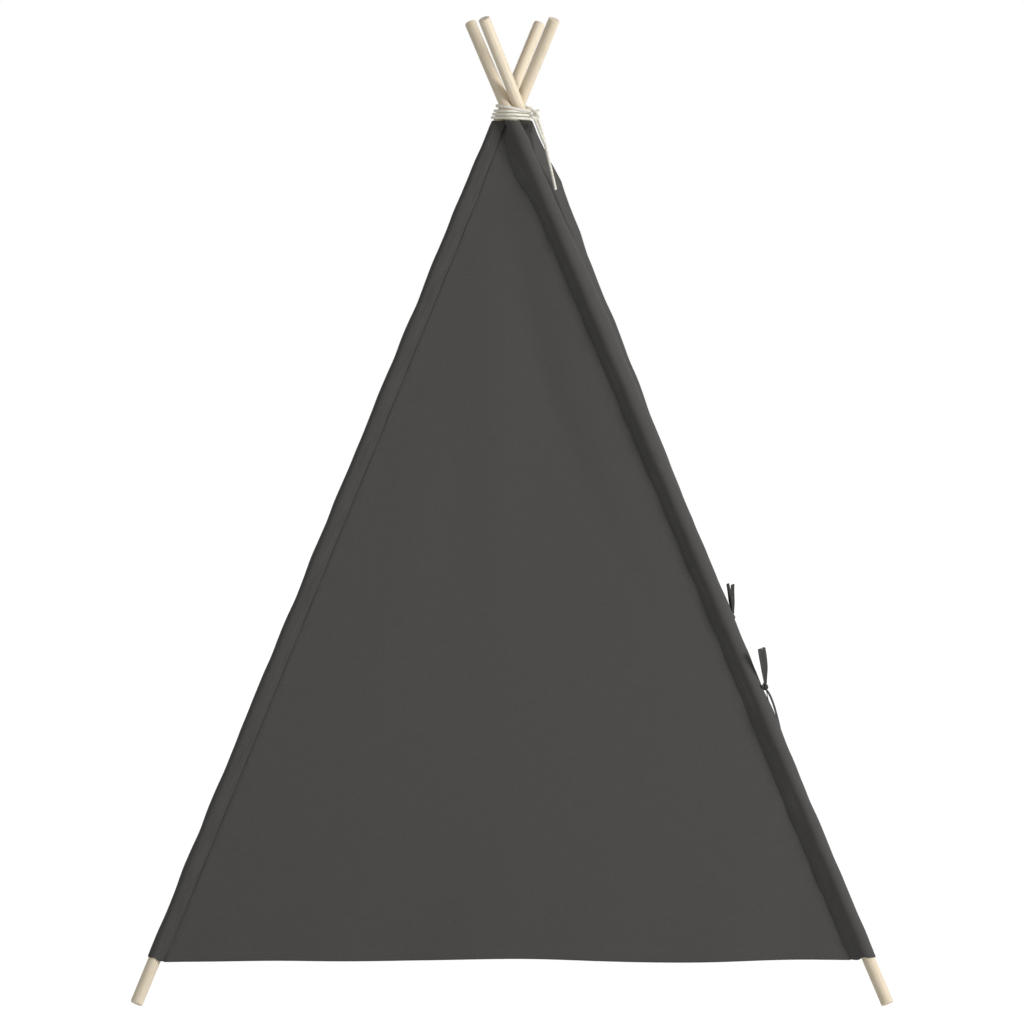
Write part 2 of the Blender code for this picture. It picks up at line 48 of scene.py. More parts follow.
print(f"frame loaded, {len(nodes)} nodes")


def linked(name, data):
    made = bpy.data.objects.new(name, data)
    bpy.context.scene.collection.objects.link(made)
    return made


# Camera: level with a child's head, a few metres off the closed side.
cameraLook = {
    "behind": 5.613, "height": 1.213, "downDegrees": 5.0,
    "focalPixels": 3285, "imagePixels": 1024, "sensor": 36,
}


def makeCamera():
    data = bpy.data.cameras.new("camera")
    data.sensor_width = cameraLook["sensor"]
    data.lens = cameraLook["focalPixels"] * cameraLook["sensor"] / cameraLook["imagePixels"]
    camera = linked("camera", data)
    camera.location = (0, -cameraLook["behind"], cameraLook["height"])
    camera.rotation_euler = (math.radians(90 - cameraLook["downDegrees"]), 0, 0)
    bpy.context.scene.camera = camera


makeCamera()
print("camera placed")


# The tent's own sizes, in metres. Corner 0 is rear left and each next one is a quarter turn on.
tent = {
    "crossing": 1.414, "crossOffset": 0.0109844, "lean": (0.35114, 0.36458, 0.86243), "poleRadius": 0.010,
}
cover = {
    "pocketRadius": 0.0115, "pocketBottom": 0.074, "pocketTop": 1.3885,
    "hem": 0.068, "top": 1.354, "closeTop": 1.379, "taper": 0.120, "gap": 0.0004, "cloth": 0.001,
    # the reach of each pocket's two seams from its pole, and how far the valley seam lies behind the front
    "flushReach": 0.016, "topReach": 0.0128, "valleyReach": 0.029, "closeRun": 0.022,
    # topInsetRises and narrows are a height and the run above it
    "valleyInset": 0.0152, "lowInset": 0.0018, "topInset": 0.0048, "topInsetRises": (1.20, 0.12),
    "valleyNarrows": 0.0075, "narrows": (0.22, 0.45), "valleyGapShare": 0.2,
    "wedge": 0.014, "wedgeAt": 1.307, "wedgeSpread": 0.048,
    "sag": 0.007, "hemWave": 0.0016, "hemWaves": 5, "tuck": 0.0013,
}
lean = np.array(tent["lean"])
tilt = math.acos(lean[2])


def smoothStep(x):
    # 3 x x - 2 x x x between 0 and 1, level outside
    x = np.clip(x, 0, 1)
    return x * x * (3 - 2 * x)


def rising(x, start, run):
    # 0 up to the start and 1 a run past it
    return smoothStep((x - start) / run)


def falling(x, end, run):
    # 1 until a run before the end and 0 from there on
    return smoothStep((end - x) / run)


def bell(x, width):
    # e to the power of -(x / width) squared
    return np.exp(-(x / width) ** 2)


def clearOf(reach, *distances):
    # 0 at each edge, rising to 1 at that reach from all of them
    return math.prod(smoothStep(distance / reach) for distance in distances)


def ripple(s, seed, lengths, height):
    # sum of sines of seeded phases, each wavelength off by up to 15 percent, about height tall
    pick = np.random.default_rng(seed)
    total = np.zeros_like(np.asarray(s, float))
    for length in lengths:
        total += np.sin(2 * math.pi * s / (length * pick.uniform(0.85, 1.15)) + pick.uniform(0, 6.28))
    return height * total / math.sqrt(len(lengths))


def runAlong(path):
    # distance along a path at each of its points
    return np.concatenate([[0], np.cumsum(np.linalg.norm(np.diff(path, axis=0), axis=1))])


def quarterTurn(points, corner):
    # x and y turned by corner quarter turns, z kept
    c, s = ((1, 0), (0, 1), (-1, 0), (0, -1))[corner % 4]
    points = np.asarray(points, float)
    turned = points.copy()
    turned[..., 0] = c * points[..., 0] - s * points[..., 1]
    turned[..., 1] = s * points[..., 0] + c * points[..., 1]
    return turned


def facingOut(wall):
    return quarterTurn(np.array([0.0, -1.0, 0.0]), wall)


def unit(vectors):
    return vectors / np.linalg.norm(vectors, axis=-1, keepdims=True)


def polar(reach, angles):
    # x and y at each reach and angle
    return np.stack([reach * np.cos(angles), reach * np.sin(angles)], -1)


def poleCentre(z, corner=0):
    # plan point of the pole at each height: the crossing plus the lean's run for each metre of rise
    rise = np.asarray(z, float) - tent["crossing"]
    plan = np.stack([-tent["crossOffset"] + lean[0] / lean[2] * rise,
                     tent["crossOffset"] + lean[1] / lean[2] * rise], axis=-1)
    return quarterTurn(plan, corner)


def tiltReach(normals, radius):
    # support of the level ellipse of a tilted round bar along plan normals
    plan = unit(lean[:2])
    along = normals @ plan
    across = normals @ np.array([-plan[1], plan[0]])
    return radius * np.sqrt((along / math.cos(tilt)) ** 2 + across ** 2)


# an outline in plan is given by its support: how far it reaches along each normal of this fan
fan = np.linspace(0, 2 * math.pi, 360, endpoint=False)
fanNormals = polar(1.0, fan)
leastFacing = 0.04
pocketFront = float(tiltReach(np.array([[0.0, -1.0]]), cover["pocketRadius"])[0])


def radialReach(support, angles):
    # reach of the convex outline with that support: the least of support / cos(angle between)
    angles = np.broadcast_to(angles, (len(support), angles.shape[-1]))
    facing = np.cos(fan - angles[..., None])
    ratio = np.where(facing > leastFacing, support[:, None, :] / np.maximum(facing, leastFacing), np.inf)
    return ratio.min(axis=2)


def taperShare(z):
    return np.clip((cover["top"] - np.asarray(z, float)) / cover["taper"], 0, 1)


def flushSeam(z):
    reach = cover["topReach"] + (cover["flushReach"] - cover["topReach"]) * taperShare(z)
    return np.stack([reach, np.full_like(reach, -pocketFront)], axis=-1)


def valleySeam(z):
    # draws closer to the pole with height, swings out in a soft wedge below the lashing, closes at the top
    z = np.asarray(z, float)
    narrows = rising(z, *cover["narrows"])
    low = cover["valleyReach"] - cover["valleyNarrows"] * narrows
    swing = cover["wedge"] * bell(z - cover["wedgeAt"], cover["wedgeSpread"])
    closing = falling(z, cover["closeTop"], cover["closeRun"])
    reach = cover["topReach"] + (low + swing - cover["topReach"]) * closing
    inset = cover["valleyInset"] + cover["lowInset"] * (1 - narrows)
    inset = inset + cover["topInset"] * rising(z, *cover["topInsetRises"])
    return np.stack([inset - pocketFront, reach], axis=-1)


# Mesh makers
def gridNormals(points):
    # unit cross product of the two grid directions
    normal = np.cross(np.gradient(points, axis=1), np.gradient(points, axis=0))
    return normal / np.maximum(np.linalg.norm(normal, axis=2, keepdims=True), 1e-12)


def makeMesh(name, points, faces, faceUv, material, attributes=None, sharpDegrees=38):
    # faces are lists of corner numbers, and faceUv holds one place for each corner in the same order
    mesh = bpy.data.meshes.new(name)
    mesh.from_pydata(np.asarray(points, float).tolist(), [], faces)
    mesh.uv_layers.new(name="UVMap").data.foreach_set("uv", np.asarray(faceUv, np.float32).ravel())
    for key, values in (attributes or {}).items():
        made = mesh.attributes.new(key, "FLOAT", "POINT")
        made.data.foreach_set("value", values.astype(np.float32))
    mesh.validate()
    mesh.shade_smooth()
    mesh.set_sharp_from_angle(angle=math.radians(sharpDegrees))
    mesh.materials.append(material)
    return linked(name, mesh)


def quads(rows, columns, closed=False):
    # corner numbers of each cell of a grid, and the rows and columns of those corners
    r, c = np.mgrid[:rows - 1, :columns if closed else columns - 1]
    row = np.stack([r, r, r + 1, r + 1], -1).reshape(-1, 4)
    column = np.stack([c, c + 1, c + 1, c], -1).reshape(-1, 4)
    return row * columns + column % columns, (row, column)


def hubCap(ring, hub):
    # triangles from a ring of corners to its middle
    return np.stack([ring, np.roll(ring, -1), np.full(len(ring), hub)], -1).tolist()


def clothShell(name, outer, uv, outward, thickness, attributes, closed=False):
    # the outer face as a grid, a second grid one thickness behind it along the normals, and rims
    rows, columns = outer.shape[:2]
    count = rows * columns
    if closed:
        normals = gridNormals(np.concatenate([outer[:, -1:], outer, outer[:, :1]], axis=1))[:, 1:-1]
    else:
        normals = gridNormals(outer)
    way = -1 if np.sum(normals * outward) < 0 else 1  # the order of corners that faces outward
    inner = outer - normals * way * thickness
    cells, places = quads(rows, columns, closed)
    first = np.arange(columns)
    last = (rows - 1) * columns + first[::-1]
    side = np.arange(rows) * columns
    loops = [np.concatenate([first[:-1], side[:-1] + columns - 1, last[:-1], side[:0:-1]])]
    if closed:
        loops = [first, last]
    rim = np.concatenate([np.stack([loop, np.roll(loop, -1)], -1) for loop in loops])
    rimFaces = np.concatenate([rim[:, ::-1], rim + count], axis=1)[:, ::way]
    faces = np.concatenate([cells[:, ::way], cells[:, ::-way] + count, rimFaces])
    rimUv = uv[:, :columns].reshape(-1, 2)[rimFaces % count]
    faceUv = np.concatenate([uv[places][:, ::way], uv[places][:, ::-way], rimUv])
    points = np.concatenate([outer.reshape(-1, 3), inner.reshape(-1, 3)])
    both = {key: np.tile(values.ravel(), 2) for key, values in attributes.items()}
    return makeMesh(name, points, faces.tolist(), faceUv, canvas, both)


def carried(name, path, profile, material, twist=0.0, scales=1.0, sideways=None):
    # A closed profile carried along a path, square to it, with flat ends:
    # point = path + side * profile x + up * profile y, both turned by twist and sized by scales.
    count, around = len(path), len(profile)
    along = unit(np.gradient(path, axis=0))
    if sideways is None:
        side = np.zeros_like(path)
        # the first side stands off a direction that no path starts in; the others follow it without roll
        side[0] = unit(np.cross(along[0], (0.3, 0.2, 0.93)))
        for i in range(1, count):
            side[i] = unit(side[i - 1] - along[i] * (side[i - 1] @ along[i]))
    else:
        side = unit(sideways - along * np.sum(sideways * along, axis=1, keepdims=True))
    up = np.cross(along, side)
    turn = np.broadcast_to(twist, count)[:, None]
    size = np.broadcast_to(scales, (count, 2))
    px, py = profile[:, 0] * size[:, :1], profile[:, 1] * size[:, 1:]
    x, y = np.cos(turn) * px - np.sin(turn) * py, np.sin(turn) * px + np.cos(turn) * py
    grid = path[:, None] + side[:, None] * x[..., None] + up[:, None] * y[..., None]
    run, girth = runAlong(path), runAlong(np.vstack([profile, profile[:1]]))
    uv = np.stack(np.broadcast_arrays(girth, run[:, None]), -1)
    cells, places = quads(count, around, True)
    hub, ring = count * around, np.arange(around)
    faces = cells.tolist() + hubCap(ring[::-1], hub) + hubCap(hub - around + ring, hub + 1)
    endUv = [np.full((around * 3, 2), (0.0, v)) for v in (0.0, run[-1])]
    points = np.concatenate([grid.reshape(-1, 3), path[:1], path[-1:]])
    return makeMesh(name, points, faces, np.concatenate([uv[places].reshape(-1, 2), *endUv]), material,
                    sharpDegrees=50)


def strandProfile(radius, sides, lobes, depth):
    # a circle whose radius dips between its lobes, as the strands of a laid cord do
    a = np.linspace(0, 2 * math.pi, sides, endpoint=False)
    return polar(radius * (1 - depth * (1 - np.abs(np.cos(a * lobes / 2)))), a)


def tapeProfile(width, thick, bow=0.0):
    # a flat oblong whose half thickness falls by 0.6 x^6 towards its edges, bowed across its width
    x = np.linspace(-1, 1, 9)
    half = thick / 2 * (1 - x ** 6 * 0.6)
    middle = bow * (1 - x ** 2)
    lower = np.stack([x * width / 2, middle - half], -1)
    upper = np.stack([x[::-1] * width / 2, middle + half], -1)
    return np.concatenate([lower, upper])


def smoothPath(marks, count, between=40):
    # Catmull-Rom through the marks with that many points between two, resampled to even steps
    marks = np.asarray(marks, float)
    ends = np.vstack([2 * marks[0] - marks[1], marks, 2 * marks[-1] - marks[-2]])
    t = np.linspace(0, 1, between, endpoint=False)[None, :, None]
    a, b, c, d = (ends[i:len(ends) - 3 + i, None] for i in range(4))
    fine = 0.5 * (2 * b + (c - a) * t + (2 * a - 5 * b + 4 * c - d) * t ** 2
                  + (3 * b - a - 3 * c + d) * t ** 3)
    fine = np.vstack([fine.reshape(-1, 3), marks[-1:]])
    run = runAlong(fine)
    at = np.linspace(0, run[-1], count)
    return np.stack([np.interp(at, run, fine[:, i]) for i in range(3)], -1)


# Material helpers
def srgb(*screen):
    # 0 to 255 screen levels as linear colour
    v = np.array(screen, float) / 255
    linear = np.where(v <= 0.04045, v / 12.92, ((v + 0.055) / 1.055) ** 2.4)
    return (*[float(x) for x in linear], 1.0)


def newMaterial(name, colour, roughness, **sockets):
    made = bpy.data.materials.new(name)
    made.use_nodes = True
    shader = made.node_tree.nodes["Principled BSDF"]
    shader.inputs["Base Color"].default_value = colour
    shader.inputs["Roughness"].default_value = roughness
    for key, value in sockets.items():
        shader.inputs[key.replace("_", " ")].default_value = value
    return made, made.node_tree, shader


def addNode(tree, kind, inputs=None, **settings):
    node = tree.nodes.new(kind)
    for key, value in settings.items():
        setattr(node, key, value)
    for key, value in (inputs or {}).items():
        if hasattr(value, "is_output"):
            tree.links.new(value, node.inputs[key])
        else:
            node.inputs[key].default_value = value
    return node


def calc(tree, operation, *values, clamp=False):
    inputs = dict(enumerate(values))
    return addNode(tree, "ShaderNodeMath", inputs, operation=operation, use_clamp=clamp).outputs[0]


def times(tree, a, b):
    return calc(tree, "MULTIPLY", a, b)


def plus(tree, a, b, clamp=False):
    return calc(tree, "ADD", a, b, clamp=clamp)


def blendColour(tree, share, a, b):
    return addNode(tree, "ShaderNodeMix", {0: share, 6: a, 7: b}, data_type="RGBA").outputs[2]


def levels(tree, value, low, high, toLow, toHigh):
    ends = {"Value": value, "From Min": low, "From Max": high, "To Min": toLow, "To Max": toHigh}
    return addNode(tree, "ShaderNodeMapRange", ends).outputs["Result"]


def noise(tree, place, scale, detail, roughness=0.5, output=0):
    inputs = {"Vector": place, "Scale": scale, "Detail": detail, "Roughness": roughness}
    return addNode(tree, "ShaderNodeTexNoise", inputs).outputs[output]


def mapped(tree, place, scale, **more):
    return addNode(tree, "ShaderNodeMapping", {0: place, "Scale": scale, **more}).outputs[0]


def objectPlace(tree):
    return addNode(tree, "ShaderNodeTexCoord").outputs["Object"]


def ownUv(tree):
    # the piece's own UV, and its two parts in metres
    uv = addNode(tree, "ShaderNodeUVMap", uv_map="UVMap").outputs[0]
    return uv, *addNode(tree, "ShaderNodeSeparateXYZ", {0: uv}).outputs[:2]


def waves(tree, value, length):
    return calc(tree, "SINE", times(tree, value, 2 * math.pi / length))


def feed(shader, socket, value):
    shader.id_data.links.new(value, shader.inputs[socket])


def bumped(tree, shader, strength, distance, height):
    inputs = {"Strength": strength, "Distance": distance, "Height": height}
    feed(shader, "Normal", addNode(tree, "ShaderNodeBump", inputs).outputs[0])


# Canvas: plain weave on the piece's own UV, slubs, faint mottling, and a row of stitches along sewn edges.
canvasLook = {
    "colour": srgb(77, 76, 74), "pale": srgb(81, 80, 78), "deep": srgb(73, 72, 70),
    "thread": srgb(84, 82, 79), "threadSpacing": 0.0009, "slubScales": ((900, 40, 1), (40, 900, 1)),
    "mottleScale": 9.0, "mottleShare": 0.25, "rough": (0.9, 0.97),
    "stitchIn": 0.0065, "stitchLength": 0.0042, "stitchShare": 0.55, "stitchWidth": (0.0003, 0.0009),
    "stitchEnds": (0.30, 0.38), "dentReach": 0.0035,
    # bump is a strength and a depth, and the reliefs are shares of that depth
    "bump": (0.35, 0.0005), "weaveRelief": 0.10, "slubRelief": 0.12, "dentRelief": 0.6,
}


def canvasMaterial(look=canvasLook):
    made, tree, shader = newMaterial("charcoal canvas", look["colour"], 0.93, Specular_IOR_Level=0.18,
                                     Sheen_Weight=0.04, Sheen_Roughness=0.6)
    uv, *parts = ownUv(tree)
    weave = times(tree, *[waves(tree, part, look["threadSpacing"]) for part in parts])
    slubs = plus(tree, *[noise(tree, mapped(tree, uv, scale), 1.0, 2.0) for scale in look["slubScales"]])
    mottle = noise(tree, objectPlace(tree), look["mottleScale"], 4.0, 0.55)
    tone = levels(tree, plus(tree, slubs, times(tree, mottle, look["mottleShare"])), 0.75, 1.5, 0.0, 1.0)
    cloth = blendColour(tree, tone, look["deep"], look["pale"])
    across, along = (addNode(tree, "ShaderNodeAttribute", attribute_name=name).outputs["Fac"]
                     for name in ("sewnAcross", "sewnAlong"))
    off = calc(tree, "ABSOLUTE", calc(tree, "SUBTRACT", across, look["stitchIn"]))
    row = levels(tree, off, *look["stitchWidth"], 1.0, 0.0)
    beat = calc(tree, "FRACT", calc(tree, "DIVIDE", along, look["stitchLength"]))
    fromMiddle = calc(tree, "ABSOLUTE", calc(tree, "SUBTRACT", beat, 0.5))
    stitch = times(tree, row, levels(tree, fromMiddle, *look["stitchEnds"], 1.0, 0.0))
    shown = times(tree, stitch, look["stitchShare"])
    feed(shader, "Base Color", blendColour(tree, shown, cloth, look["thread"]))
    dent = levels(tree, off, 0.0, look["dentReach"], -1.0, 0.0)
    sewing = plus(tree, times(tree, dent, look["dentRelief"]), stitch)
    relief = plus(tree, times(tree, slubs, look["slubRelief"]), sewing)
    bumped(tree, shader, *look["bump"], plus(tree, times(tree, weave, look["weaveRelief"]), relief))
    feed(shader, "Roughness", levels(tree, mottle, 0.3, 0.7, *look["rough"]))
    return made


canvas = canvasMaterial()


# Tape: a narrow twill ribbon with ribbed edges.
tapeLook = {
    "colour": srgb(48, 48, 46), "pale": srgb(70, 70, 68), "rib": 0.0011, "crossRibShare": 0.55,
    "crossRelief": 0.4, "wovenShare": 0.35, "fadeScale": 60.0, "fadeShare": 0.5, "bump": (0.4, 0.0003),
}


def tapeMaterial(look=tapeLook):
    made, tree, shader = newMaterial("charcoal tape", look["colour"], 0.85, Specular_IOR_Level=0.25,
                                     Sheen_Weight=0.05)
    around, along = ownUv(tree)[1:]
    rib = waves(tree, plus(tree, around, along), look["rib"])
    cross = waves(tree, along, look["rib"] * look["crossRibShare"])
    weave = plus(tree, rib, times(tree, cross, look["crossRelief"]))
    woven = times(tree, levels(tree, weave, -1.4, 1.4, 0, 1), look["wovenShare"])
    faded = times(tree, noise(tree, objectPlace(tree), look["fadeScale"], 3.0), look["fadeShare"])
    tone = plus(tree, woven, faded, clamp=True)
    feed(shader, "Base Color", blendColour(tree, tone, look["colour"], look["pale"]))
    bumped(tree, shader, *look["bump"], weave)
    return made


tape = tapeMaterial()


# Cord: cream cotton, three laid strands; the fine yarns run slantwise on each strand.
cordLook = {
    "colour": srgb(240, 237, 227), "deep": srgb(214, 209, 192), "yarn": 0.0011, "slant": 1.4, "paintedGlow": 0.16,
    "yarnShare": 0.35, "fadeScale": 90.0, "fuzzScale": 1400.0, "fuzzRelief": 0.8, "bump": (0.45, 0.0003),
}


def cordMaterial(look=cordLook):
    made, tree, shader = newMaterial("cream cord", look["colour"], 0.88, Specular_IOR_Level=0.2,
                                     Sheen_Weight=0.1)
    around, along = ownUv(tree)[1:]
    yarn = waves(tree, calc(tree, "SUBTRACT", times(tree, along, look["slant"]), around), look["yarn"])
    place = objectPlace(tree)
    twisted = times(tree, levels(tree, yarn, -1, 1, 0, 1), look["yarnShare"])
    faded = levels(tree, noise(tree, place, look["fadeScale"], 4.0), 0.3, 0.7, 0.1, 0.65)
    tone = plus(tree, twisted, faded, clamp=True)
    tint = blendColour(tree, tone, look["deep"], look["colour"])
    # painted light: the cord glows a little in its own tint, so its shaded side stays pale
    for socket in ("Base Color", "Emission Color"):
        feed(shader, socket, tint)
    shader.inputs["Emission Strength"].default_value = look["paintedGlow"]
    fuzz = times(tree, noise(tree, place, look["fuzzScale"], 2.0), look["fuzzRelief"])
    bumped(tree, shader, *look["bump"], plus(tree, yarn, fuzz))
    return made


creamCord = cordMaterial()


def turnToPole(corner):
    # the turn that stands the leaning pole upright, for a Mapping node
    up = Vector(quarterTurn(lean, corner))
    return up.rotation_difference(Vector((0, 0, 1))).to_euler()


# Pine: growth rings cut lengthwise, fine pores, and rings again on the sawn ends.
pineLook = {
    "pale": srgb(232, 220, 198), "warm": srgb(215, 196, 165), "deep": srgb(196, 170, 134),
    "heartOff": (0.006, 0.007), "ringScale": 120.0, "ringStretch": 0.035, "poreStretch": 0.03,
    "drift": 0.0035, "driftScale": 70.0, "poreScale": 900.0, "broadScale": 30.0,
    "ringRelief": 0.4, "bump": (0.15, 0.0004), "rough": (0.5, 0.66),
}


def pineMaterial(name, corner, shift, look=pineLook):
    # shift moves a section along the same log and turns its heart to another side
    made, tree, shader = newMaterial(name, look["pale"], 0.55, Specular_IOR_Level=0.3)
    turn = turnToPole(corner)
    heart = -(turn.to_matrix() @ Vector((*poleCentre(0.0, corner), 0.0)))
    offX, offY = look["heartOff"]
    heart += Vector((offX * math.cos(shift), offY * math.sin(shift), shift))
    local = mapped(tree, objectPlace(tree), (1, 1, 1), Rotation=tuple(turn), Location=tuple(heart))
    stretched = mapped(tree, local, (1, 1, look["ringStretch"]))
    bend = {0: look["drift"], 4: stretched, 5: noise(tree, stretched, look["driftScale"], 3.0, output=1)}
    bent = addNode(tree, "ShaderNodeMix", bend, data_type="VECTOR").outputs[1]
    ringInputs = {"Vector": bent, "Scale": look["ringScale"], "Distortion": 1.5, "Detail": 2.0,
                  "Detail Scale": 1.5}
    rings = addNode(tree, "ShaderNodeTexWave", ringInputs, wave_type="RINGS", rings_direction="Z",
                    wave_profile="SAW").outputs[1]
    streak = noise(tree, mapped(tree, local, (1, 1, look["poreStretch"])), look["poreScale"], 3.0, 0.6)
    broad = noise(tree, stretched, look["broadScale"], 2.0)
    tint = look["pale"]
    for share, colour in ((levels(tree, rings, 0.35, 1.0, 0.0, 0.6), "warm"),
                          (levels(tree, streak, 0.55, 0.78, 0.0, 0.5), "deep"),
                          (levels(tree, broad, 0.45, 0.75, 0.0, 0.4), "warm")):
        tint = blendColour(tree, share, tint, look[colour])
    feed(shader, "Base Color", tint)
    bumped(tree, shader, *look["bump"], plus(tree, times(tree, rings, look["ringRelief"]), streak))
    feed(shader, "Roughness", levels(tree, streak, 0.3, 0.7, *look["rough"]))
    return made


# Ferrules: thin bright steel tube with turning marks round it.
steelLook = {
    "colour": srgb(202, 203, 204), "deep": srgb(186, 188, 190), "pale": srgb(216, 217, 218),
    "markScales": (20, 20, 2600), "rough": (0.26, 0.42), "bump": (0.12, 0.0002),
}


def steelMaterial(name, corner, look=steelLook):
    made, tree, shader = newMaterial(name, look["colour"], 0.32, Metallic=1.0)
    local = mapped(tree, objectPlace(tree), look["markScales"], Rotation=tuple(turnToPole(corner)))
    marks = noise(tree, local, 1.0, 3.0)
    feed(shader, "Base Color", blendColour(tree, marks, look["deep"], look["pale"]))
    feed(shader, "Roughness", levels(tree, marks, 0.3, 0.7, *look["rough"]))
    bumped(tree, shader, *look["bump"], marks)
    return made


print("materials made")


# Lashing cord: two tails first, then the winding, its crossing turn and the knot.
lashing = {
    "height": 1.400, "pitch": 0.0057, "turns": 3, "startDegrees": -20, "stepsPerTurn": 96,
    "cordRadius": 0.0025, "fit": 0.0004, "lay": 0.016, "strands": 3, "strandDip": 0.11, "sides": 18,
    "endShare": 0.82, "endRun": 0.0015,
    "knotDegrees": -16, "knotSize": (0.014, 0.018, 0.020), "knotCordShare": 0.92, "knotSteps": 181,
    # the crossing turn: how far it lifts, climbs and falls, and the start and run of each as shares of it
    "aboveTurns": 0.15, "lift": 0.0046, "lifts": (0.62, 0.3), "startRun": 0.12,
    "climb": 0.0042, "climbs": (0, 0.2), "fall": 0.0095, "falls": (0.62, 0.38),
    # the tails' marks, in millimetres from under the knot
    "tailLong": ((4.5, -1, 0), (9.5, -6, -16), (16.5, -11, -42), (23, -18, -70), (29, -25, -96),
                 (34, -31, -118)),
    "tailShort": ((-1, -5, 0), (4.5, -13, -14), (11.5, -20, -32), (18.5, -26, -46)),
    "tailLongPoints": 30, "tailShortPoints": 16,
}
knotAngle = math.radians(lashing["knotDegrees"])
knotCord = lashing["cordRadius"] * lashing["knotCordShare"]


def bundleReach(z, angles, margin):
    # outline round the four poles at each height: their supports' maximum, pushed out by the margin
    z = np.asarray(z, float)
    supports = []
    for corner in range(4):
        own = tiltReach(quarterTurn(fanNormals, -corner), tent["poleRadius"])
        supports.append(poleCentre(z, corner) @ fanNormals.T + own[None, :])
    return radialReach(np.max(supports, axis=0) + margin, angles[:, None])[:, 0]


def windingPath(turns, start, way, zAt, extra=lambda turned: 0.0):
    # a helix on the bundle's outline: radius from bundleReach at the highest and lowest of the cord
    turned = np.arange(turns * lashing["stepsPerTurn"] + 1) / lashing["stepsPerTurn"]
    angle = start + way * 2 * math.pi * turned
    z, radius = zAt(turned), lashing["cordRadius"]
    margin = radius + lashing["fit"]
    reach = np.max([bundleReach(z + d, angle, margin) for d in (-radius, 0, radius)], axis=0)
    return np.concatenate([polar(reach + extra(turned), angle), z[:, None]], -1)


def laidCord(name, path, radius=lashing["cordRadius"]):
    # the strands' outline turns once in each lay, and the ends draw in a little
    run = runAlong(path)
    full = smoothStep(np.minimum(run, run[-1] - run) / lashing["endRun"])
    size = lashing["endShare"] + (1 - lashing["endShare"]) * full
    outline = strandProfile(radius, lashing["sides"], lashing["strands"], lashing["strandDip"])
    return carried(name, path, outline, creamCord, 2 * math.pi * run / lashing["lay"], size[:, None])


def knotPlace():
    margin = 2 * lashing["cordRadius"] + 2 * lashing["fit"]
    reach = bundleReach([lashing["height"]], np.array([knotAngle]), margin)[0]
    seat = reach + lashing["knotSize"][0] / 2 + 2 * lashing["fit"]
    return np.append(polar(seat, knotAngle), lashing["height"])


def makeTails(knotAt):
    under = knotAt - np.array([0, 0, lashing["knotSize"][2] / 2 + lashing["fit"]])
    for name, key in (("lashing_tail_long", "tailLong"), ("lashing_tail_short", "tailShort")):
        marks = under + np.array(lashing[key]) * 0.001
        path = smoothPath(marks, lashing[key + "Points"])
        tail = laidCord(name + "_cord", smoothPath(marks, lashing[key + "Points"] * 4))
        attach(tail, "root")
        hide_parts(name)


def crossingPath():
    # one more turn that climbs at the back and comes down over the others at the front
    top = lashing["height"] + lashing["pitch"] * (lashing["turns"] / 2 + lashing["aboveTurns"])

    def zAt(share):
        climb = lashing["climb"] * rising(share, *lashing["climbs"])
        return top + climb - lashing["fall"] * rising(share, *lashing["falls"])

    def lifted(share):
        away = smoothStep(1 - share / lashing["startRun"])
        return lashing["lift"] * (rising(share, *lashing["lifts"]) + away)

    return windingPath(1, knotAngle, 1, zAt, lifted)


def knotPath(knotAt):
    # An overhand knot: the trefoil (sin t + 2 sin 2t, cos t - 2 cos 2t, -sin 3t), whose own reach is about
    # 2.65 and 2.75, sized to the knot's box, in the plane that faces out.
    t = np.linspace(0, 2 * math.pi, lashing["knotSteps"])[:-2, None]
    radial = np.append(polar(1.0, knotAngle), 0)
    side = np.array([-radial[1], radial[0], 0])
    half = (np.array(lashing["knotSize"]) - 2 * knotCord) / 2
    across = (np.sin(t) + 2 * np.sin(2 * t)) / 2.65 * half[1]
    upward = (np.cos(t) - 2 * np.cos(2 * t)) / 2.75 * half[2]
    return knotAt - radial * np.sin(3 * t) * half[0] + side * across + np.array([0, 0, 1.0]) * upward


def makeLashing():
    knotAt = knotPlace()
    makeTails(knotAt)
    bottom = lashing["height"] - lashing["pitch"] * lashing["turns"] / 2
    start = math.radians(lashing["startDegrees"])
    wound = windingPath(lashing["turns"], start, -1, lambda turned: bottom + lashing["pitch"] * turned)
    winding = laidCord("lashing_wound_cord", wound)
    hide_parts("lashing_winding")
    crossed = laidCord("lashing_crossing_turn", crossingPath())
    knot = laidCord("lashing_knot_cord", knotPath(knotAt), knotCord)
    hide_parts("lashing_knot")
    for piece in (winding, crossed, knot):
        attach(piece, "root")


makeLashing()
print("lashing made")
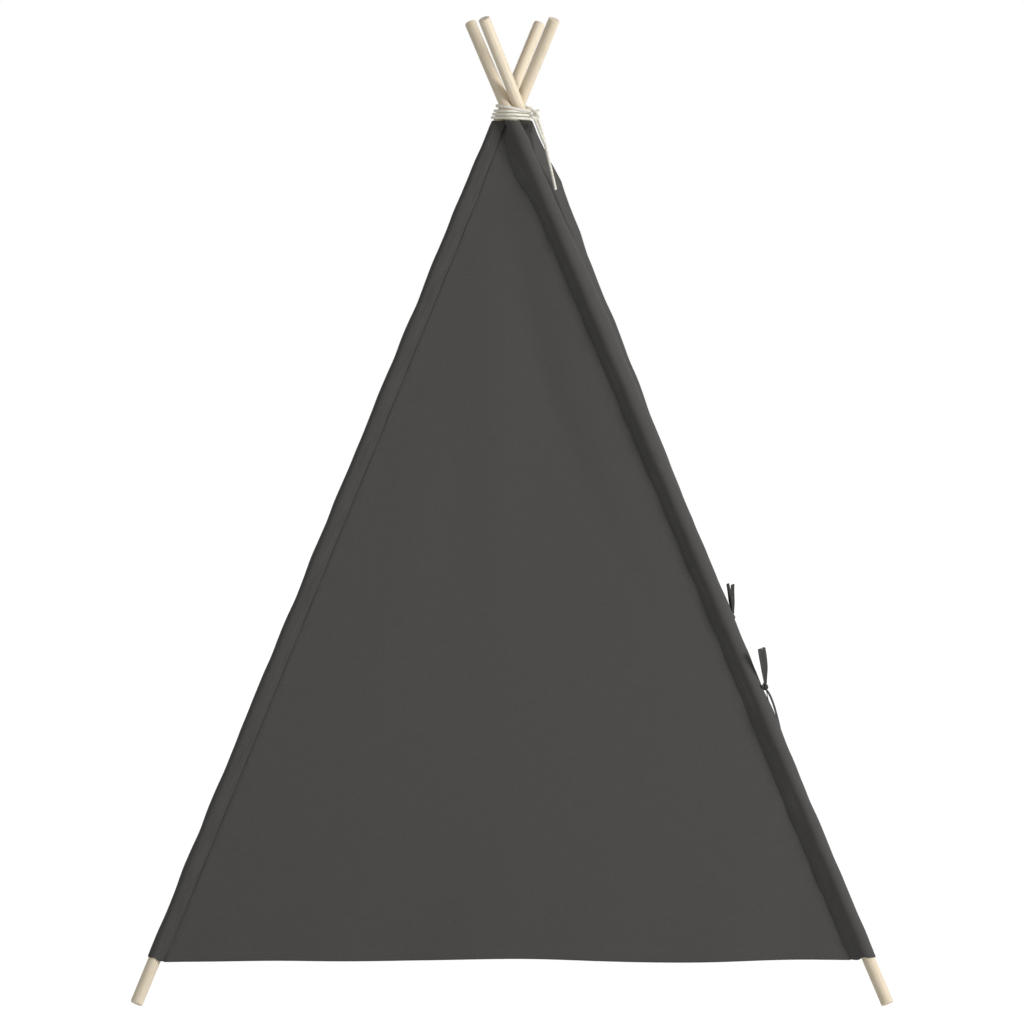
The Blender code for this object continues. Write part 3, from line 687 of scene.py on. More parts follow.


# Walls: each is two half sheets that meet on its middle line, and a half rides on its pole.
# u is the share across a wall from its left edge, and v the share up it from the hem.
wallHeight = cover["top"] - cover["hem"]
closeShare = (cover["closeTop"] - cover["hem"]) / wallHeight
wallForm = {
    # rows stand closer at the hem, and columns beside the pole
    "hemRows": ((0.003, 5), (0.024, 12)), "rows": 112, "tuckedRows": 7, "columns": 56, "crowding": 1.35,
    "keep": 0.125, "seamPoint": 0.7, "flatHeight": 1.38,
    # each wall's places where the hem hangs lower: share across, width share, metres
    "hemDrops": (
        ((0.08, 0.10, 0.0022), (0.42, 0.2, 0.001), (0.80, 0.18, 0.0050)),
        ((0.1, 0.1, 0.002), (0.9, 0.1, 0.003)),
        ((0.2, 0.15, 0.003), (0.6, 0.2, 0.002)),
        ((0.3, 0.2, 0.003), (0.8, 0.12, 0.002)),
    ),
    # each wall's folds: share across at mid length, width and height in metres, middle height share, slant
    "folds": (
        ((0.45, 0.05, 0.0026, 0.66, 0.1), (0.7, 0.034, -0.003, 0.68, 0.6),
         (0.8, 0.05, 0.0018, 0.6, 0.35), (0.22, 0.06, 0.0014, 0.55, 0.05)),
        ((0.3, 0.05, 0.002, 0.8, 0.1), (0.7, 0.05, -0.0016, 0.8, 0.3)),
        ((0.36, 0.045, -0.0022, 0.7, -0.3), (0.55, 0.05, 0.0024, 0.72, 0.1),
         (0.74, 0.05, -0.0016, 0.62, 0.4)),
        ((0.34, 0.05, 0.0024, 0.7, -0.2), (0.52, 0.04, -0.002, 0.74, 0.1), (0.66, 0.05, 0.002, 0.66, 0.4)),
    ),
    "foldLength": 0.24, "foldTopFade": 0.16, "foldSideFade": 0.05,
    # ripples of every kind are wavelengths and a height
    "puckers": ((0.043, 0.071, 0.117), 0.0008), "puckerReach": 0.022, "puckerStart": 0.003,
    "groove": 0.0011, "grooveWidth": 0.0038, "edgeRise": 0.0006,
    "hemWidth": 0.020, "hemRise": 0.0006, "hemEdge": 0.003, "hemRound": 0.0016, "hemStitch": 0.008,
    "hemRipples": ((0.31, 0.47, 0.19), 0.0016), "hemRippleReach": 0.10, "hemRippleFade": 0.06,
    "runPerShare": 1.27,
    # above the sewn top the cloth is tucked in between the two sleeves
    "tuckIn": 0.003, "tuckFrom": 0.006, "tuckRun": 0.02,
}


def wallEdges(z, wall):
    left = poleCentre(z) + flushSeam(z) + np.array([cover["gap"], 0])
    valley = valleySeam(z)
    local = np.stack([-valley[..., 1] - cover["gap"] * cover["valleyGapShare"], valley[..., 0]], -1)
    right = poleCentre(z, 1) + local
    return quarterTurn(left, wall), quarterTurn(right, wall)


def wallRelief(u, v, z, width, wall):
    # How far the face stands out: folds that are bells across and along, puckers and a groove beside the
    # seams, a doubled hem and slow ripples above it.
    form = wallForm
    fromLeft, fromRight, above = u * width, (1 - u) * width, v * wallHeight
    out = np.zeros_like(u)
    for centre, spread, rise, middle, slant in form["folds"][wall]:
        off = (u - centre - slant * (middle - v)) * width
        out += rise * bell(off, spread) * bell(v - middle, form["foldLength"])
    out *= smoothStep((1 - v) / form["foldTopFade"]) * clearOf(form["foldSideFade"], fromLeft, fromRight)
    for d, seed in ((fromLeft, 3 + wall), (fromRight, 13 + wall)):
        pucker = ripple(z + d * 0.5, seed, *form["puckers"])
        out += pucker * np.exp(-d / form["puckerReach"]) * smoothStep(d / form["puckerStart"])
    out -= form["groove"] * bell(fromLeft, form["grooveWidth"])
    out += form["hemRise"] * falling(above, form["hemWidth"], form["hemEdge"])
    slow = ripple(fromLeft, 40 + wall, *form["hemRipples"])
    slow *= clearOf(form["hemRippleFade"], fromLeft, fromRight)
    out += slow * np.exp(-above / form["hemRippleReach"])
    # the hem's fold rounds inwards over its lowest millimetres
    return out - form["hemRound"] * (1 - np.clip(above / form["hemEdge"], 0, 1)) ** 2


def wallSurface(u, v, wall, detail=True):
    # Outer face of a wall: a straight line from edge to edge at each height, set in by
    # sag * sin(pi u) * sqrt(1 - v), less the relief.
    wave = cover["hemWave"] * np.sin(math.pi * cover["hemWaves"] * u) * (1 - v) ** 6
    z = cover["hem"] + v * wallHeight + wave
    left, right = wallEdges(z, wall)
    tuck = unit(right - left) * cover["tuck"]
    left, right = left - tuck, right + tuck
    at = left + u[..., None] * (right - left)
    width = np.linalg.norm(right - left, axis=-1)
    fromLeft, fromRight = u * width, (1 - u) * width
    inset = cover["sag"] * np.sin(math.pi * u) * np.sqrt(np.maximum(1 - v, 0))
    if detail:
        inset = inset - wallRelief(u, v, z, width, wall)
        for centre, spread, drop in wallForm["hemDrops"][wall]:
            z = z - drop * bell(u - centre, spread) * (1 - v).clip(0) ** 8
    inset = inset + wallForm["edgeRise"] * np.exp(-np.minimum(fromLeft, fromRight) / cover["tuck"])
    tucked = rising(z, cover["top"] - wallForm["tuckFrom"], wallForm["tuckRun"])
    inset = inset + wallForm["tuckIn"] * tucked
    at = at - facingOut(wall)[:2] * inset[..., None]
    return np.concatenate([at, z[..., None]], -1), fromLeft, fromRight


def foldLine(corner, wall):
    # the direction in the wall's plane away from the pole and square to it, and a point of the seam
    up, height = quarterTurn(lean, corner), wallForm["seamPoint"]
    middle = np.append(poleCentre(height, corner), height)
    away = np.append(quarterTurn(np.array([0.0, poleCentre(height)[1]]), wall), height) - middle
    local = flushSeam(height) if corner == wall else valleySeam(height)
    return unit(away - up * (away @ up)), middle + np.append(quarterTurn(local, corner), 0)


def sewn(pairs):
    # of (distance across, distance along) pairs, the nearest edge wins at each point
    across = np.stack([pair[0] for pair in pairs])
    along = np.stack([pair[1] for pair in pairs])
    pick = across.argmin(axis=0)[None]
    return {"sewnAcross": np.take_along_axis(across, pick, 0)[0],
            "sewnAlong": np.take_along_axis(along, pick, 0)[0]}


def aboveHem(points):
    return (points[..., 2] - cover["hem"]) / lean[2]


def edgeRows(above, v, fromLeft):
    # the rows of stitches along the hem and below the sewn top
    return ((np.maximum(above - wallForm["hemStitch"], 0), fromLeft),
            (np.maximum((1 - v) * wallForm["runPerShare"], 0), fromLeft))


def hangHalf(name, corner, wall, points, uv, marks, flat):
    away, seam = foldLine(corner, wall)
    half = clothShell(name, points, uv, facingOut(wall), cover["cloth"], marks)
    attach(half, "pole_" + cornerNames[corner])
    tuple(away)
    tuple(seam)
    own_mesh(half)
    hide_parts(wallNames[wall])
    flatArea(points)


def flatArea(points):
    # half the cross product of each cell's two diagonals, summed
    a = points[1:, 1:] - points[:-1, :-1]
    b = points[1:, :-1] - points[:-1, 1:]
    return float(np.sum(np.linalg.norm(np.cross(a, b), axis=2)) / 2)


def rowsUp(*stretches):
    # shares up a wall: each stretch is its upper end and its rows, and the last is tucked in at the top
    rows = np.zeros(1)
    for end, count in (*stretches, (closeShare, wallForm["tuckedRows"])):
        rows = np.append(rows, np.linspace(rows[-1], end, count)[1:])
    return rows


def makeWall(wall):
    rows = rowsUp(*wallForm["hemRows"], (1, wallForm["rows"]))
    near = np.linspace(0, 1, wallForm["columns"])
    for second, corner in ((0, wall), (1, (wall + 1) % 4)):
        crowded = 1 - (1 - near) ** wallForm["crowding"] if second else near ** wallForm["crowding"]
        u, v = np.meshgrid((crowded + second) / 2, rows)
        points, fromLeft, fromRight = wallSurface(u, v, wall)
        above = aboveHem(points)
        uv = np.stack([2.0 - fromRight if second else fromLeft, above], -1)
        marks = sewn([(fromRight if second else fromLeft, above), *edgeRows(above, v, fromLeft)])
        name = wallNames[wall] + ("_first_half", "_second_half")[second]
        hangHalf(name, corner, wall, points, uv, marks, (float(np.ptp(fromLeft[0])), wallForm["flatHeight"]))


for wall in (0, 2, 3):
    makeWall(wall)
print("walls made")


# Door: a gable with a strip down each side, and two flaps that meet on the slit.
door = {
    "slitTop": 1.090, "edgeAtHem": 0.034, "slitGap": 0.0003, "foldGap": 0.0001,
    "stripRows": 90, "gableRows": 26, "columns": 30, "stripFlat": (0.12, 1.38),
    "flapTopWidth": 0.0012, "flapColumns": 8, "flapRows": 90, "flapLengths": 8, "flapKeep": 0.131,
    "flapFlatWidth": 0.5, "flapLengthPerShare": 1.49, "fineRows": 400, "wedgeTop": 0.995,
    # soft upright folds of the flaps: height, number across, phase for each side, and where they fade
    "foldHeight": 0.0035, "foldCount": 1.6, "foldPhases": (0.6, 2.2), "foldTopFade": 0.25,
    "ripples": ((0.23, 0.37), 0.0010), "rippleFade": 0.03,
    "edgeRise": 0.0005, "edgeEnds": (0.012, 0.002), "edgeStitch": 0.003,
    # the left flap laps the right one; edgeEnds and lapEnds are an end and the run before it
    "lap": 0.005, "lapRise": 0.0022, "lapEnds": (0.030, 0.022), "lapTopFade": 0.05,
}
slitShare = (door["slitTop"] - cover["hem"]) / wallHeight


def widthAt(v):
    left, right = wallEdges(cover["hem"] + np.asarray(v, float) * wallHeight, 1)
    return np.linalg.norm(right - left, axis=-1)


doorHalf = 0.5 * widthAt(0.0) - door["edgeAtHem"]


def doorEdge(v):
    # share of the wall's width from its end to the fold line: the doorway narrows evenly to the slit's top
    return 0.5 - doorHalf * np.clip(1 - v / slitShare, 0, 1) / widthAt(v)


def makeDoor():
    rows = rowsUp((slitShare, door["stripRows"]), (1, door["gableRows"]))
    strip, v = np.meshgrid(np.linspace(0, 1, door["columns"]), rows)
    for side, name, corner in ((0, "door_panel_left_half", 1), (1, "door_panel_right_half", 2)):
        u = doorEdge(v) * strip
        points, fromLeft, fromRight = wallSurface(1 - u if side else u, v, 1)
        above = aboveHem(points)
        edge = fromRight if side else fromLeft
        # above the slit there is no doorway, so its edge counts as a metre off
        toDoor = doorEdge(v) * (1 - strip) * widthAt(v) + np.where(v > slitShare, 1.0, 0.0)
        hemRow, topRow = edgeRows(above, v, fromLeft)
        marks = sewn([(edge, above), hemRow, (toDoor, above), topRow])
        hangHalf(name, corner, 1, points, np.stack([edge + 3 * side, above], -1), marks, door["stripFlat"])


def flapEdges(v, side):
    # shares of the wall's width at the fold line and at the free edge; the left flap laps over the right
    width = widthAt(v)
    high = 0.5 + (-door["slitGap"] if side else door["lap"]) / width
    return np.minimum(doorEdge(v) + door["foldGap"] / width, high - door["foldGap"] / width), high


def flapSurface(u, v, side, top):
    # The door wall's own surface, plus folds sin(2 pi n c) * c ^ 1.4, with c the share across the flap, that
    # grow towards the free edge, slow ripples and doubled edges.
    low, high = flapEdges(v, side)
    c = np.clip((u - low) / (high - low), 0, 1)
    points = wallSurface(1 - u if side else u, v, 1, detail=False)[0]
    flat, above, belowTop = (high - low) * widthAt(v), aboveHem(points), 1 - v / top
    free, fold = (1 - c) * flat, c * flat
    waving = np.sin(2 * math.pi * c * door["foldCount"] + door["foldPhases"][side]) * c ** 1.4
    out = door["foldHeight"] * waving * smoothStep(belowTop / door["foldTopFade"])
    out *= 0.5 + 0.5 * np.sin(v * 7 + side)
    out += ripple(fold, 61 + side, *door["ripples"]) * clearOf(door["rippleFade"], free, fold)
    hemmed = falling(above, wallForm["hemWidth"], wallForm["hemEdge"])
    out += door["edgeRise"] * (hemmed + falling(free, *door["edgeEnds"]))
    if side == 0:  # the lap lies on the other flap
        lapped = falling(free, *door["lapEnds"])
        out += door["lapRise"] * lapped * smoothStep(belowTop / door["lapTopFade"])
    marks = sewn([(np.maximum(free - door["edgeStitch"], 0), above),
                  (np.maximum(above - wallForm["hemStitch"], 0), free), (fold, above)])
    return points + facingOut(1) * out[..., None], np.stack([free + 5 + side, above], -1), marks


def makeFlap(side):
    # A flap, cut into lengths along lines that run to the wall's peak; the lengths ride on the flap. A
    # length runs from the hem up to where the fold line crosses it.
    name = ("door_flap_left", "door_flap_right")[side]
    rows, columns, count = door["flapRows"], door["flapColumns"], door["flapLengths"]
    top = slitShare * (1 - door["flapTopWidth"] / doorHalf)
    fine = np.linspace(0, top, door["fineRows"])
    low, high = flapEdges(fine, side)
    cuts = np.linspace(0, 1, count + 1)
    upward = np.linspace(0, 1, rows)[:, None]
    for index in range(count):
        share = np.linspace(cuts[index], cuts[index + 1], columns)
        lines = low[0] + (high - low[0]) * share[:, None]
        reached = np.array([np.interp(0, line, fine) for line in low - lines])
        if index == 0:
            # the first length is a wedge between the fold line and its cut, a hair wide at its top
            v = np.broadcast_to(reached[-1] * door["wedgeTop"] * upward, (rows, columns))
            lowHere, highHere = flapEdges(v, side)
            cut = low[0] + (highHere - low[0]) * cuts[1]
            u = lowHere + (cut - lowHere) * np.linspace(0, 1, columns)
        else:
            v = reached * upward
            u = low[0] + (flapEdges(v, side)[1] - low[0]) * share
        points, uv, marks = flapSurface(u, v, side, top)
        middle = (*unit(points[0, columns // 2, :2]), 0)
        length = clothShell(f"{name}_length_{index + 1}", points, uv, facingOut(1), cover["cloth"], marks)
        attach(length, name + "_body")
        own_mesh(length)
        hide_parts(name)
        flatArea(points)


makeDoor()
for side in (0, 1):
    makeFlap(side)
print("door made")


# Sleeves: a teardrop round each pole, drawn to its two seams, looser in the upper half on the door side.
sleeveForm = {
    "rows": 260, "innerColumns": 28, "outerColumns": 64, "spacingRow": 100, "girthRow": 130,
    "fineSteps": 600, "cloth": 0.0009, "flat": (0.102, 1.52), "bulge": 0.0006,
    # for each corner: how far the cloth stands off by height, and the plan direction it stands off to
    "slackHeights": (0.07, 0.25, 0.45, 0.65, 0.85, 1.05, 1.16, 1.20, 1.245, 1.287, 1.325, 1.387),
    "slack": ((0, 0.0005, 0.001, 0.001, 0.001, 0.001, 0.0015, 0.001, 0.002, 0.0015, 0.002, 0),
              (0, 0.001, 0.003, 0.005, 0.006, 0.008, 0.006, 0.005, 0.004, 0.003, 0.002, 0),
              (0, 0.001, 0.002, 0.003, 0.004, 0.0055, 0.0035, 0.0065, 0.0065, 0.0095, 0.003, 0),
              (0, 0.0005, 0.001, 0.002, 0.002, 0.001, 0.001, 0.001, 0.001, 0.0015, 0.001, 0)),
    "slackTowards": ((-0.8, -0.6), (0.25, -0.97), (-0.99, 0.14), (0.25, -0.97)),
    # puckers: short ones beside the seams and slow ones elsewhere, in metres; angles in radians
    "puckers": ((0.052, 0.083, 0.131), 0.0007), "slow": ((0.10, 0.16, 0.27), 0.0008), "standOff": 0.0006,
    "seamReach": 0.55, "seamFade": 0.5, "bottomFade": 0.02, "topFade": 0.03,
    "hemWidth": 0.016, "hemRise": 0.0005, "hemEdge": 0.002, "hemFade": 0.25, "hemStitch": 0.006,
    "droop": 0.0062, "droopAngle": 0.8, "droopHeight": 0.03,
}


def slackReach(corner, z):
    # the stand-off, spread over the side it points to as the square of the cosine
    slack = np.interp(z, sleeveForm["slackHeights"], sleeveForm["slack"][corner])
    facing = np.maximum(fanNormals @ np.array(sleeveForm["slackTowards"][corner]), 0) ** 2
    return slack[:, None] * facing[None, :]


def pocketSupport(corner, z):
    # support of the convex outline of the pole's ellipse and the two seam points, plus the slack
    bar = np.broadcast_to(tiltReach(fanNormals, cover["pocketRadius"]), (len(z), len(fan)))
    drawn = np.maximum(np.maximum(bar, flushSeam(z) @ fanNormals.T), valleySeam(z) @ fanNormals.T)
    return drawn + slackReach(corner, z)


def evenShares(support, first, span, count):
    # shares of the span that part the outline into equal lengths
    share = np.linspace(0, 1, sleeveForm["fineSteps"])
    angles = first + span * share
    reach = radialReach(support[None], angles[None])[0]
    run = runAlong(polar(reach, angles))
    return np.interp(np.linspace(0, run[-1], count, endpoint=False), run, share)


def sleeveOutline(corner, z):
    # The outline at each height as a radius by angle about the pole. Columns start on the flush seam, reach
    # the valley seam after the inner side, and come back round the outside.
    flush, valley = flushSeam(z), valleySeam(z)
    atFlush = np.arctan2(flush[:, 1], flush[:, 0])[:, None]
    atValley = np.arctan2(valley[:, 1], valley[:, 0])[:, None]
    inside = (atValley - atFlush) % (2 * math.pi)
    outside = 2 * math.pi - inside
    support = pocketSupport(corner, z)
    row = sleeveForm["spacingRow"]
    first, span = atFlush[row, 0], inside[row, 0]
    inner = evenShares(support[row], first, span, sleeveForm["innerColumns"])
    outer = evenShares(support[row], first + span, outside[row, 0], sleeveForm["outerColumns"])
    angles = atFlush + np.concatenate([inside * inner, inside + outside * outer], axis=1)
    reach = radialReach(support, angles)
    # Between the valley seam and the roll the cloth bulges by 6.75 f f (1 - f), which peaks at 1, with the
    # share f counted from the roll.
    opening = np.arccos(np.clip(cover["pocketRadius"] / np.linalg.norm(valley, axis=1)[:, None], 0, 1))
    pastValley = angles - atFlush - inside
    turned = np.clip(opening - pastValley, 0, opening)
    flank = np.where(pastValley > -1e-9, np.tan(turned) / np.maximum(np.tan(opening), 1e-6), 0)
    bulge = sleeveForm["bulge"] * taperShare(z)[:, None] * 6.75 * flank ** 2 * (1 - flank) / np.cos(turned)
    seams = np.concatenate([atFlush, atValley], axis=1)[:, None, :]
    off = np.abs((angles[:, :, None] - seams + math.pi) % (2 * math.pi) - math.pi)
    return angles, reach + bulge, off.min(axis=2)


def sleeveRelief(corner, z, angles, apart):
    # puckers and slow waves along the pole, and a doubled hem at each end
    form = sleeveForm
    near = bell(apart, form["seamReach"])
    along = z[:, None] / lean[2]
    short = ripple(along + 0 * angles, 70 + corner, *form["puckers"])
    slow = ripple(along + 0.01 * np.sin(angles), 80 + corner, *form["slow"])
    above, below = z - cover["pocketBottom"], cover["pocketTop"] - z
    ends = smoothStep(above / form["bottomFade"]) * smoothStep(below / form["topFade"])
    pucker = short * (0.25 + 0.75 * near) + slow * (1 - near) + form["standOff"]
    hem = sum(falling(end, form["hemWidth"], form["hemEdge"]) for end in (above, below))
    return (pucker * smoothStep(apart / form["seamFade"]) * ends[:, None]
            + form["hemRise"] * hem[:, None] * smoothStep(apart / form["hemFade"]))


def sleeveSurface(corner):
    # the outline plus its relief, carried up the pole; its lower end droops beside the walls' hems
    z = np.linspace(cover["pocketBottom"], cover["pocketTop"], sleeveForm["rows"])
    angles, reach, apart = sleeveOutline(corner, z)
    reach = reach + sleeveRelief(corner, z, angles, apart)
    ring = polar(reach, angles) + poleCentre(z)[:, None, :]
    above = (z - cover["pocketBottom"])[:, None]
    droop = np.exp(-(apart / sleeveForm["droopAngle"]) ** 4) * np.exp(-above / sleeveForm["droopHeight"])
    points = np.concatenate([ring, (z[:, None] - sleeveForm["droop"] * droop)[..., None]], -1)
    girthRing = ring[sleeveForm["girthRow"]]
    girth = runAlong(np.concatenate([girthRing, girthRing[:1]]))
    run = (z - z[0]) / lean[2]
    uv = np.stack(np.broadcast_arrays(girth[None, :], run[:, None]), -1) + np.array([8.0 + corner, 0])
    seamRun = apart * reach
    fromEnd = np.maximum(np.minimum(run, run[-1] - run) - sleeveForm["hemStitch"], 0)
    spread = seamRun.shape
    marks = sewn([(seamRun, np.broadcast_to(run[:, None], spread)),
                  (np.broadcast_to(fromEnd[:, None], spread), np.broadcast_to(girth[None, :-1], spread))])
    return quarterTurn(points, corner), uv, marks


def makeSleeve(corner):
    points, uv, marks = sleeveSurface(corner)
    centres = np.concatenate([poleCentre(points[:, 0, 2], corner), points[:, 0, 2:]], -1)
    name = "pole_sleeve_" + cornerNames[corner]
    outward = points - centres[:, None]
    sleeve = clothShell(name + "_cloth", points, uv, outward, sleeveForm["cloth"], marks, closed=True)
    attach(sleeve, "pole_" + cornerNames[corner])
    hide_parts(name)


for corner in range(4):
    makeSleeve(corner)
print("sleeves made")


# Poles and ferrules keep their CAD shapes.
for corner, cornerName in enumerate(cornerNames):
    for index, place in enumerate(("lower", "middle", "upper")):
        pine = pineMaterial(f"pine {cornerName} {place}", corner, 0.37 + 1.7 * corner + 0.9 * index)
        nodes[f"pole_{cornerName}_{place}"].material_slots[0].material = pine
    steel = steelMaterial(f"ferrule steel {cornerName}", corner)
    for place in ("lower", "upper"):
        nodes[f"ferrule_{cornerName}_{place}"].material_slots[0].material = steel
print("poles dressed")


# Door ties: flat tape round the sleeve, a knot, two standing ends and a hanging loop.
tie = {
    "heights": (0.475, 0.495), "width": 0.010, "thick": 0.001, "thinShare": 0.8, "apartGap": 0.0004,
    "pastKnotDegrees": 30, "seamDegrees": 14, "bandGap": 0.0009, "bandSteps": 50,
    "knot": (0.010, 0.011, 0.011), "knotGap": 0.0016, "knotRings": 31, "knotSides": 48, "ridge": 0.13,
    "seatGap": 0.0002, "outwardShare": 0.3, "endLength": 0.064, "endSteps": 40, "leanShare": 0.2,
    "spreadShare": 0.75, "curlShare": 0.12, "apart": 0.0024, "endTurns": (1.05, 0.70), "endBow": 0.0008,
    "endSway": 0.0006, "turnGrowth": 0.3, "endRoll": 0.12, "rootShare": 0.55, "rootRun": 0.45,
    "loopLength": 0.058, "loopWidth": 0.0085, "loopSteps": 90, "loopTapeShare": 0.9, "loopIn": 0.0055,
    "loopTurn": 0.22, "loopTopShare": 1.25, "loopNarrows": 0.85,
}
upright = np.array([0, 0, 1.0])


def bandPath(corner, height):
    # the outline of the pocket at that height, pushed out by half the tape, between its two seams
    z = np.array([height])
    flush, valley = flushSeam(z)[0], valleySeam(z)[0]
    atKnot = -corner * math.pi / 2 % (2 * math.pi)
    past, margin = math.radians(tie["pastKnotDegrees"]), math.radians(tie["seamDegrees"])
    if corner == 1:
        ends = atKnot - past, math.atan2(flush[1], flush[0]) % (2 * math.pi) - margin
    else:
        ends = math.atan2(valley[1], valley[0]) % (2 * math.pi) + margin, atKnot + past
    angles = np.linspace(*ends, tie["bandSteps"])
    support = pocketSupport(corner, z) + tie["thick"] / 2 + tie["bandGap"]
    reach = radialReach(support, angles[None])[0]
    plan = polar(reach, angles) + poleCentre(height)
    return np.concatenate([quarterTurn(plan, corner), np.full((len(angles), 1), height)], -1)


def makeTieKnot(name, at):
    # an egg with three slanting ridges, r = 1 - ridge * |sin(1.5 (lon + 1.2 lat))| * sin(lat), as tape
    # turned over itself
    rings, sides = tie["knotRings"], tie["knotSides"]
    lat, lon = np.meshgrid(np.linspace(0, math.pi, rings + 2)[1:-1],
                           np.linspace(0, 2 * math.pi, sides, endpoint=False), indexing="ij")
    half = np.array(tie["knot"]) / 2
    reach = (1 - tie["ridge"] * np.abs(np.sin(1.5 * (lon + 1.2 * lat))) * np.sin(lat)) * np.sin(lat)
    level = half[2] * np.cos(lat) * (1 - 0.05 * np.cos(3 * lon))
    egg = np.concatenate([polar(reach, lon) * half[:2], level[..., None]], -1).reshape(-1, 3)
    points = np.concatenate([egg, [[0, 0, half[2]], [0, 0, -half[2]]]])
    ring, hub = np.arange(sides), rings * sides
    faces = quads(rings, sides, True)[0][:, ::-1].tolist()
    faces += hubCap(ring[::-1], hub) + hubCap(hub - sides + ring, hub + 1)
    x, y, z = points[[corner for face in faces for corner in face]].T
    return makeMesh(name, points + at, faces, np.stack([np.arctan2(y, x) * 0.006, z], -1), tape,
                    sharpDegrees=180)


def tieEnd(name, at, side, way, rise, across, away):
    # a standing end: up with a slight curl, leaning with the pole, spreading from its twin, turned more
    # towards its tip
    s = np.linspace(0, 1, tie["endSteps"])[:, None]
    hand = 1 - 2 * side
    seat = tie["knot"][2] / 2 + tie["seatGap"]
    spread = tie["thick"] + tie["apartGap"] + tie["width"] * tie["spreadShare"] * s
    sway = tie["endSway"] * np.sin(s * 5 + way) * s - hand * way * tie["apart"] * s ** 0.7
    line = at + upright * (seat + tie["endLength"] * s * (1 - tie["curlShare"] * s))
    line = line + rise * tie["endLength"] * tie["leanShare"] * s + across * way * spread + away * sway
    wide = tie["rootShare"] + (1 - tie["rootShare"]) * smoothStep(s / tie["rootRun"])
    grows = 1 - tie["turnGrowth"] * (1 - s)
    turn = tie["endTurns"][side] * grows + tie["endRoll"] * way * np.sin(s * 4)
    outline = tapeProfile(tie["width"], tie["thick"] * tie["thinShare"], tie["endBow"] * way)
    return carried(name, line, outline, tape, turn[:, 0], np.hstack([wide, np.ones_like(wide)]), away)


def tieLoop(name, at, rise, facing, across):
    # a hanging loop: down and back as 1 - cos, swinging out as sin, narrower and further in below
    s = np.linspace(0, 1, tie["loopSteps"])[:, None]
    turn = s * 2 * math.pi
    lower = (1 - np.cos(turn)) / 2
    drop = tie["knot"][2] / 2 + tie["seatGap"] + tie["loopLength"] * lower
    wide = tie["loopWidth"] * (tie["loopTopShare"] - tie["loopNarrows"] * lower)
    swing = wide * np.sin(turn) / 2 - tie["loopIn"] * lower
    swing += (tie["thick"] + tie["apartGap"]) * (2 * s - 1)
    outline = tapeProfile(tie["width"] * tie["loopTapeShare"], tie["thick"] * tie["thinShare"])
    return carried(name, at - (upright + rise) * drop + facing * swing, outline, tape, tie["loopTurn"],
                   sideways=across)


def makeTie(side, corner):
    prefix = ("door_tie_left", "door_tie_right")[side]
    height = tie["heights"][side]
    up = quarterTurn(lean, corner)
    rise = np.append(up[:2], 0) / up[2]
    facing = np.array([1.0, 0, 0])
    outward = quarterTurn(unit(np.array([-1.0, -1.0, 0.0])), corner)
    away = unit(facing + outward * tie["outwardShare"])
    across = unit(np.cross(away, (0, 0, 1)))
    at = np.append(poleCentre(height, corner), height)
    at = at + facing * (pocketFront + tie["thick"] + tie["knotGap"] + tie["knot"][0] / 2)
    bandOutline = tapeProfile(tie["thick"], tie["width"])
    made = {"band": carried(prefix + "_band_tape", bandPath(corner, height), bandOutline, tape)}
    made["knot"] = makeTieKnot(prefix + "_knot_tape", at)
    for key, way in (("end_a", -1), ("end_b", 1)):
        made[key] = tieEnd(f"{prefix}_{key}_tape", at, side, way, rise, across, away)
    made["loop"] = tieLoop(prefix + "_loop_tape", at, rise, facing, across)
    for key, piece in made.items():
        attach(piece, "pole_" + cornerNames[corner])
        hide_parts(f"{prefix}_{key}")


for side in (0, 1):
    makeTie(side, side + 1)
print("ties made")


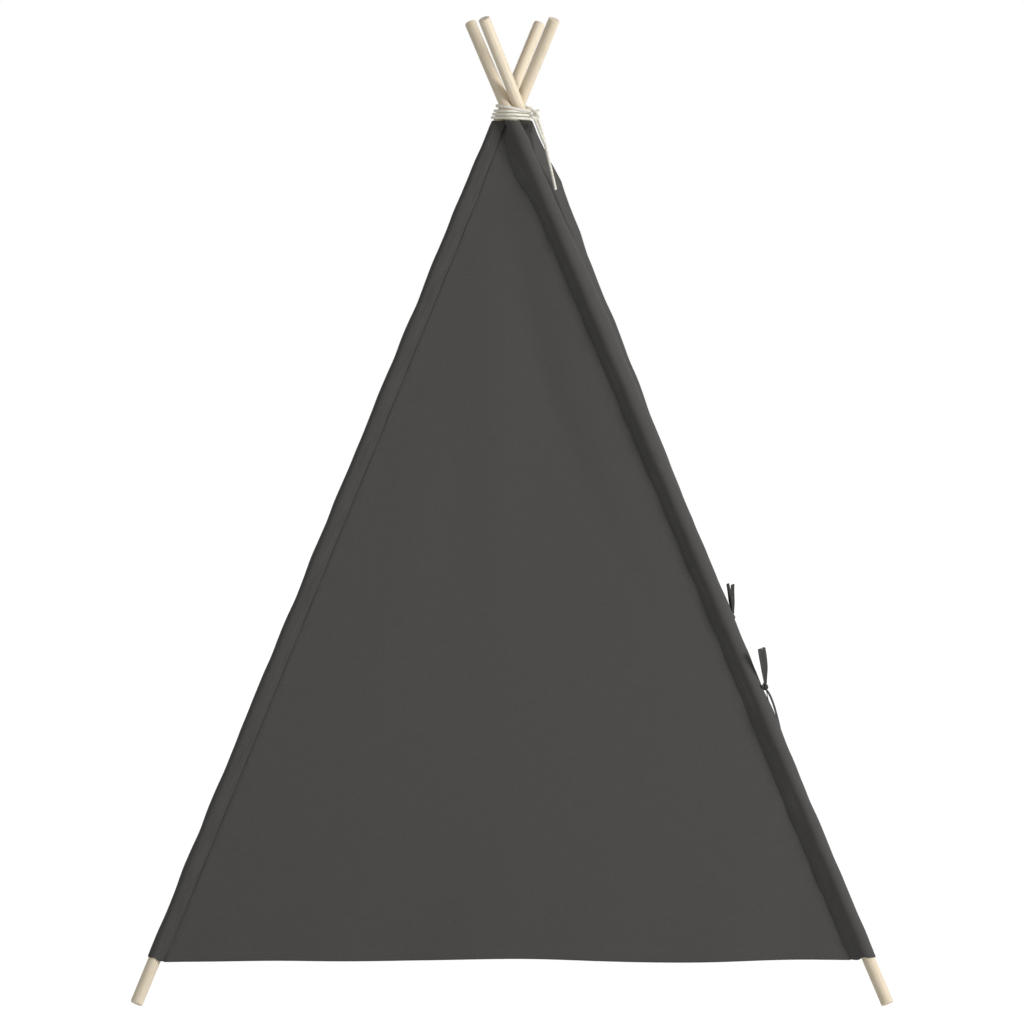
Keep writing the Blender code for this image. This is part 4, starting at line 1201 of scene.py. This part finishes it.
# Stage: white floor and surround, soft light from the front right and above.
stageLook = {
    "worldStrength": 0.26, "floorHalf": 9, "floorDrop": 0.0006, "floorColour": (0.9, 0.9, 0.9, 1),
    "shadowShare": 0.08, "floorGlow": 1.09, "lampsAimAt": (0, 0, 0.75),
    # name, watts, size, place
    "lamps": (("key", 274, 2.0, (5.0, -3.0, 2.6)), ("fill", 25, 3.5, (-2.2, -4.6, 2.2)),
              ("back", 170, 3.0, (-1.5, 5.8, 3.0))),
}


def seenStraight(tree):
    # 1 for what the camera sees, straight, mirrored or through something clear
    rays = addNode(tree, "ShaderNodeLightPath").outputs
    seen = calc(tree, "MAXIMUM", rays["Is Camera Ray"], rays["Is Glossy Ray"])
    return calc(tree, "MAXIMUM", seen, rays["Is Transmission Ray"])


def makeWorld():
    world = bpy.data.worlds.new("studio")
    bpy.context.scene.world = world
    world.use_nodes = True
    tree = world.node_tree
    back = tree.nodes["Background"]
    strengths = {"Value": seenStraight(tree), "To Min": stageLook["worldStrength"], "To Max": 1.0}
    back.inputs["Color"].default_value = (1, 1, 1, 1)
    feed(back, "Strength", addNode(tree, "ShaderNodeMapRange", strengths).outputs[0])


def makeFloor():
    half, z = stageLook["floorHalf"], -stageLook["floorDrop"]
    corners = [(x * half, y * half, z) for x, y in ((-1, -1), (1, -1), (1, 1), (-1, 1))]
    mesh = bpy.data.meshes.new("floor")
    mesh.from_pydata(corners, [], [(0, 1, 2, 3)])
    paint, tree, shader = newMaterial("white floor", stageLook["floorColour"], 1.0, Specular_IOR_Level=0.0)
    clear = addNode(tree, "ShaderNodeBsdfTransparent", {"Color": (stageLook["floorGlow"],) * 3 + (1,)})
    share = times(tree, seenStraight(tree), 1 - stageLook["shadowShare"])
    mixed = addNode(tree, "ShaderNodeMixShader", {0: share, 1: shader.outputs[0], 2: clear.outputs[0]})
    feed(tree.nodes["Material Output"], "Surface", mixed.outputs[0])
    mesh.materials.append(paint)
    linked("floor", mesh)


def makeLamps():
    for name, power, size, at in stageLook["lamps"]:
        lamp = bpy.data.lights.new(name, "AREA")
        lamp.energy = power
        lamp.size = size
        made = linked(name, lamp)
        made.location = at
        towards = Vector(stageLook["lampsAimAt"]) - Vector(at)
        made.rotation_euler = towards.to_track_quat("-Z", "Y").to_euler()


bpy.context.scene.view_settings.view_transform = "Standard"
makeWorld()
makeFloor()
makeLamps()
print("stage made")
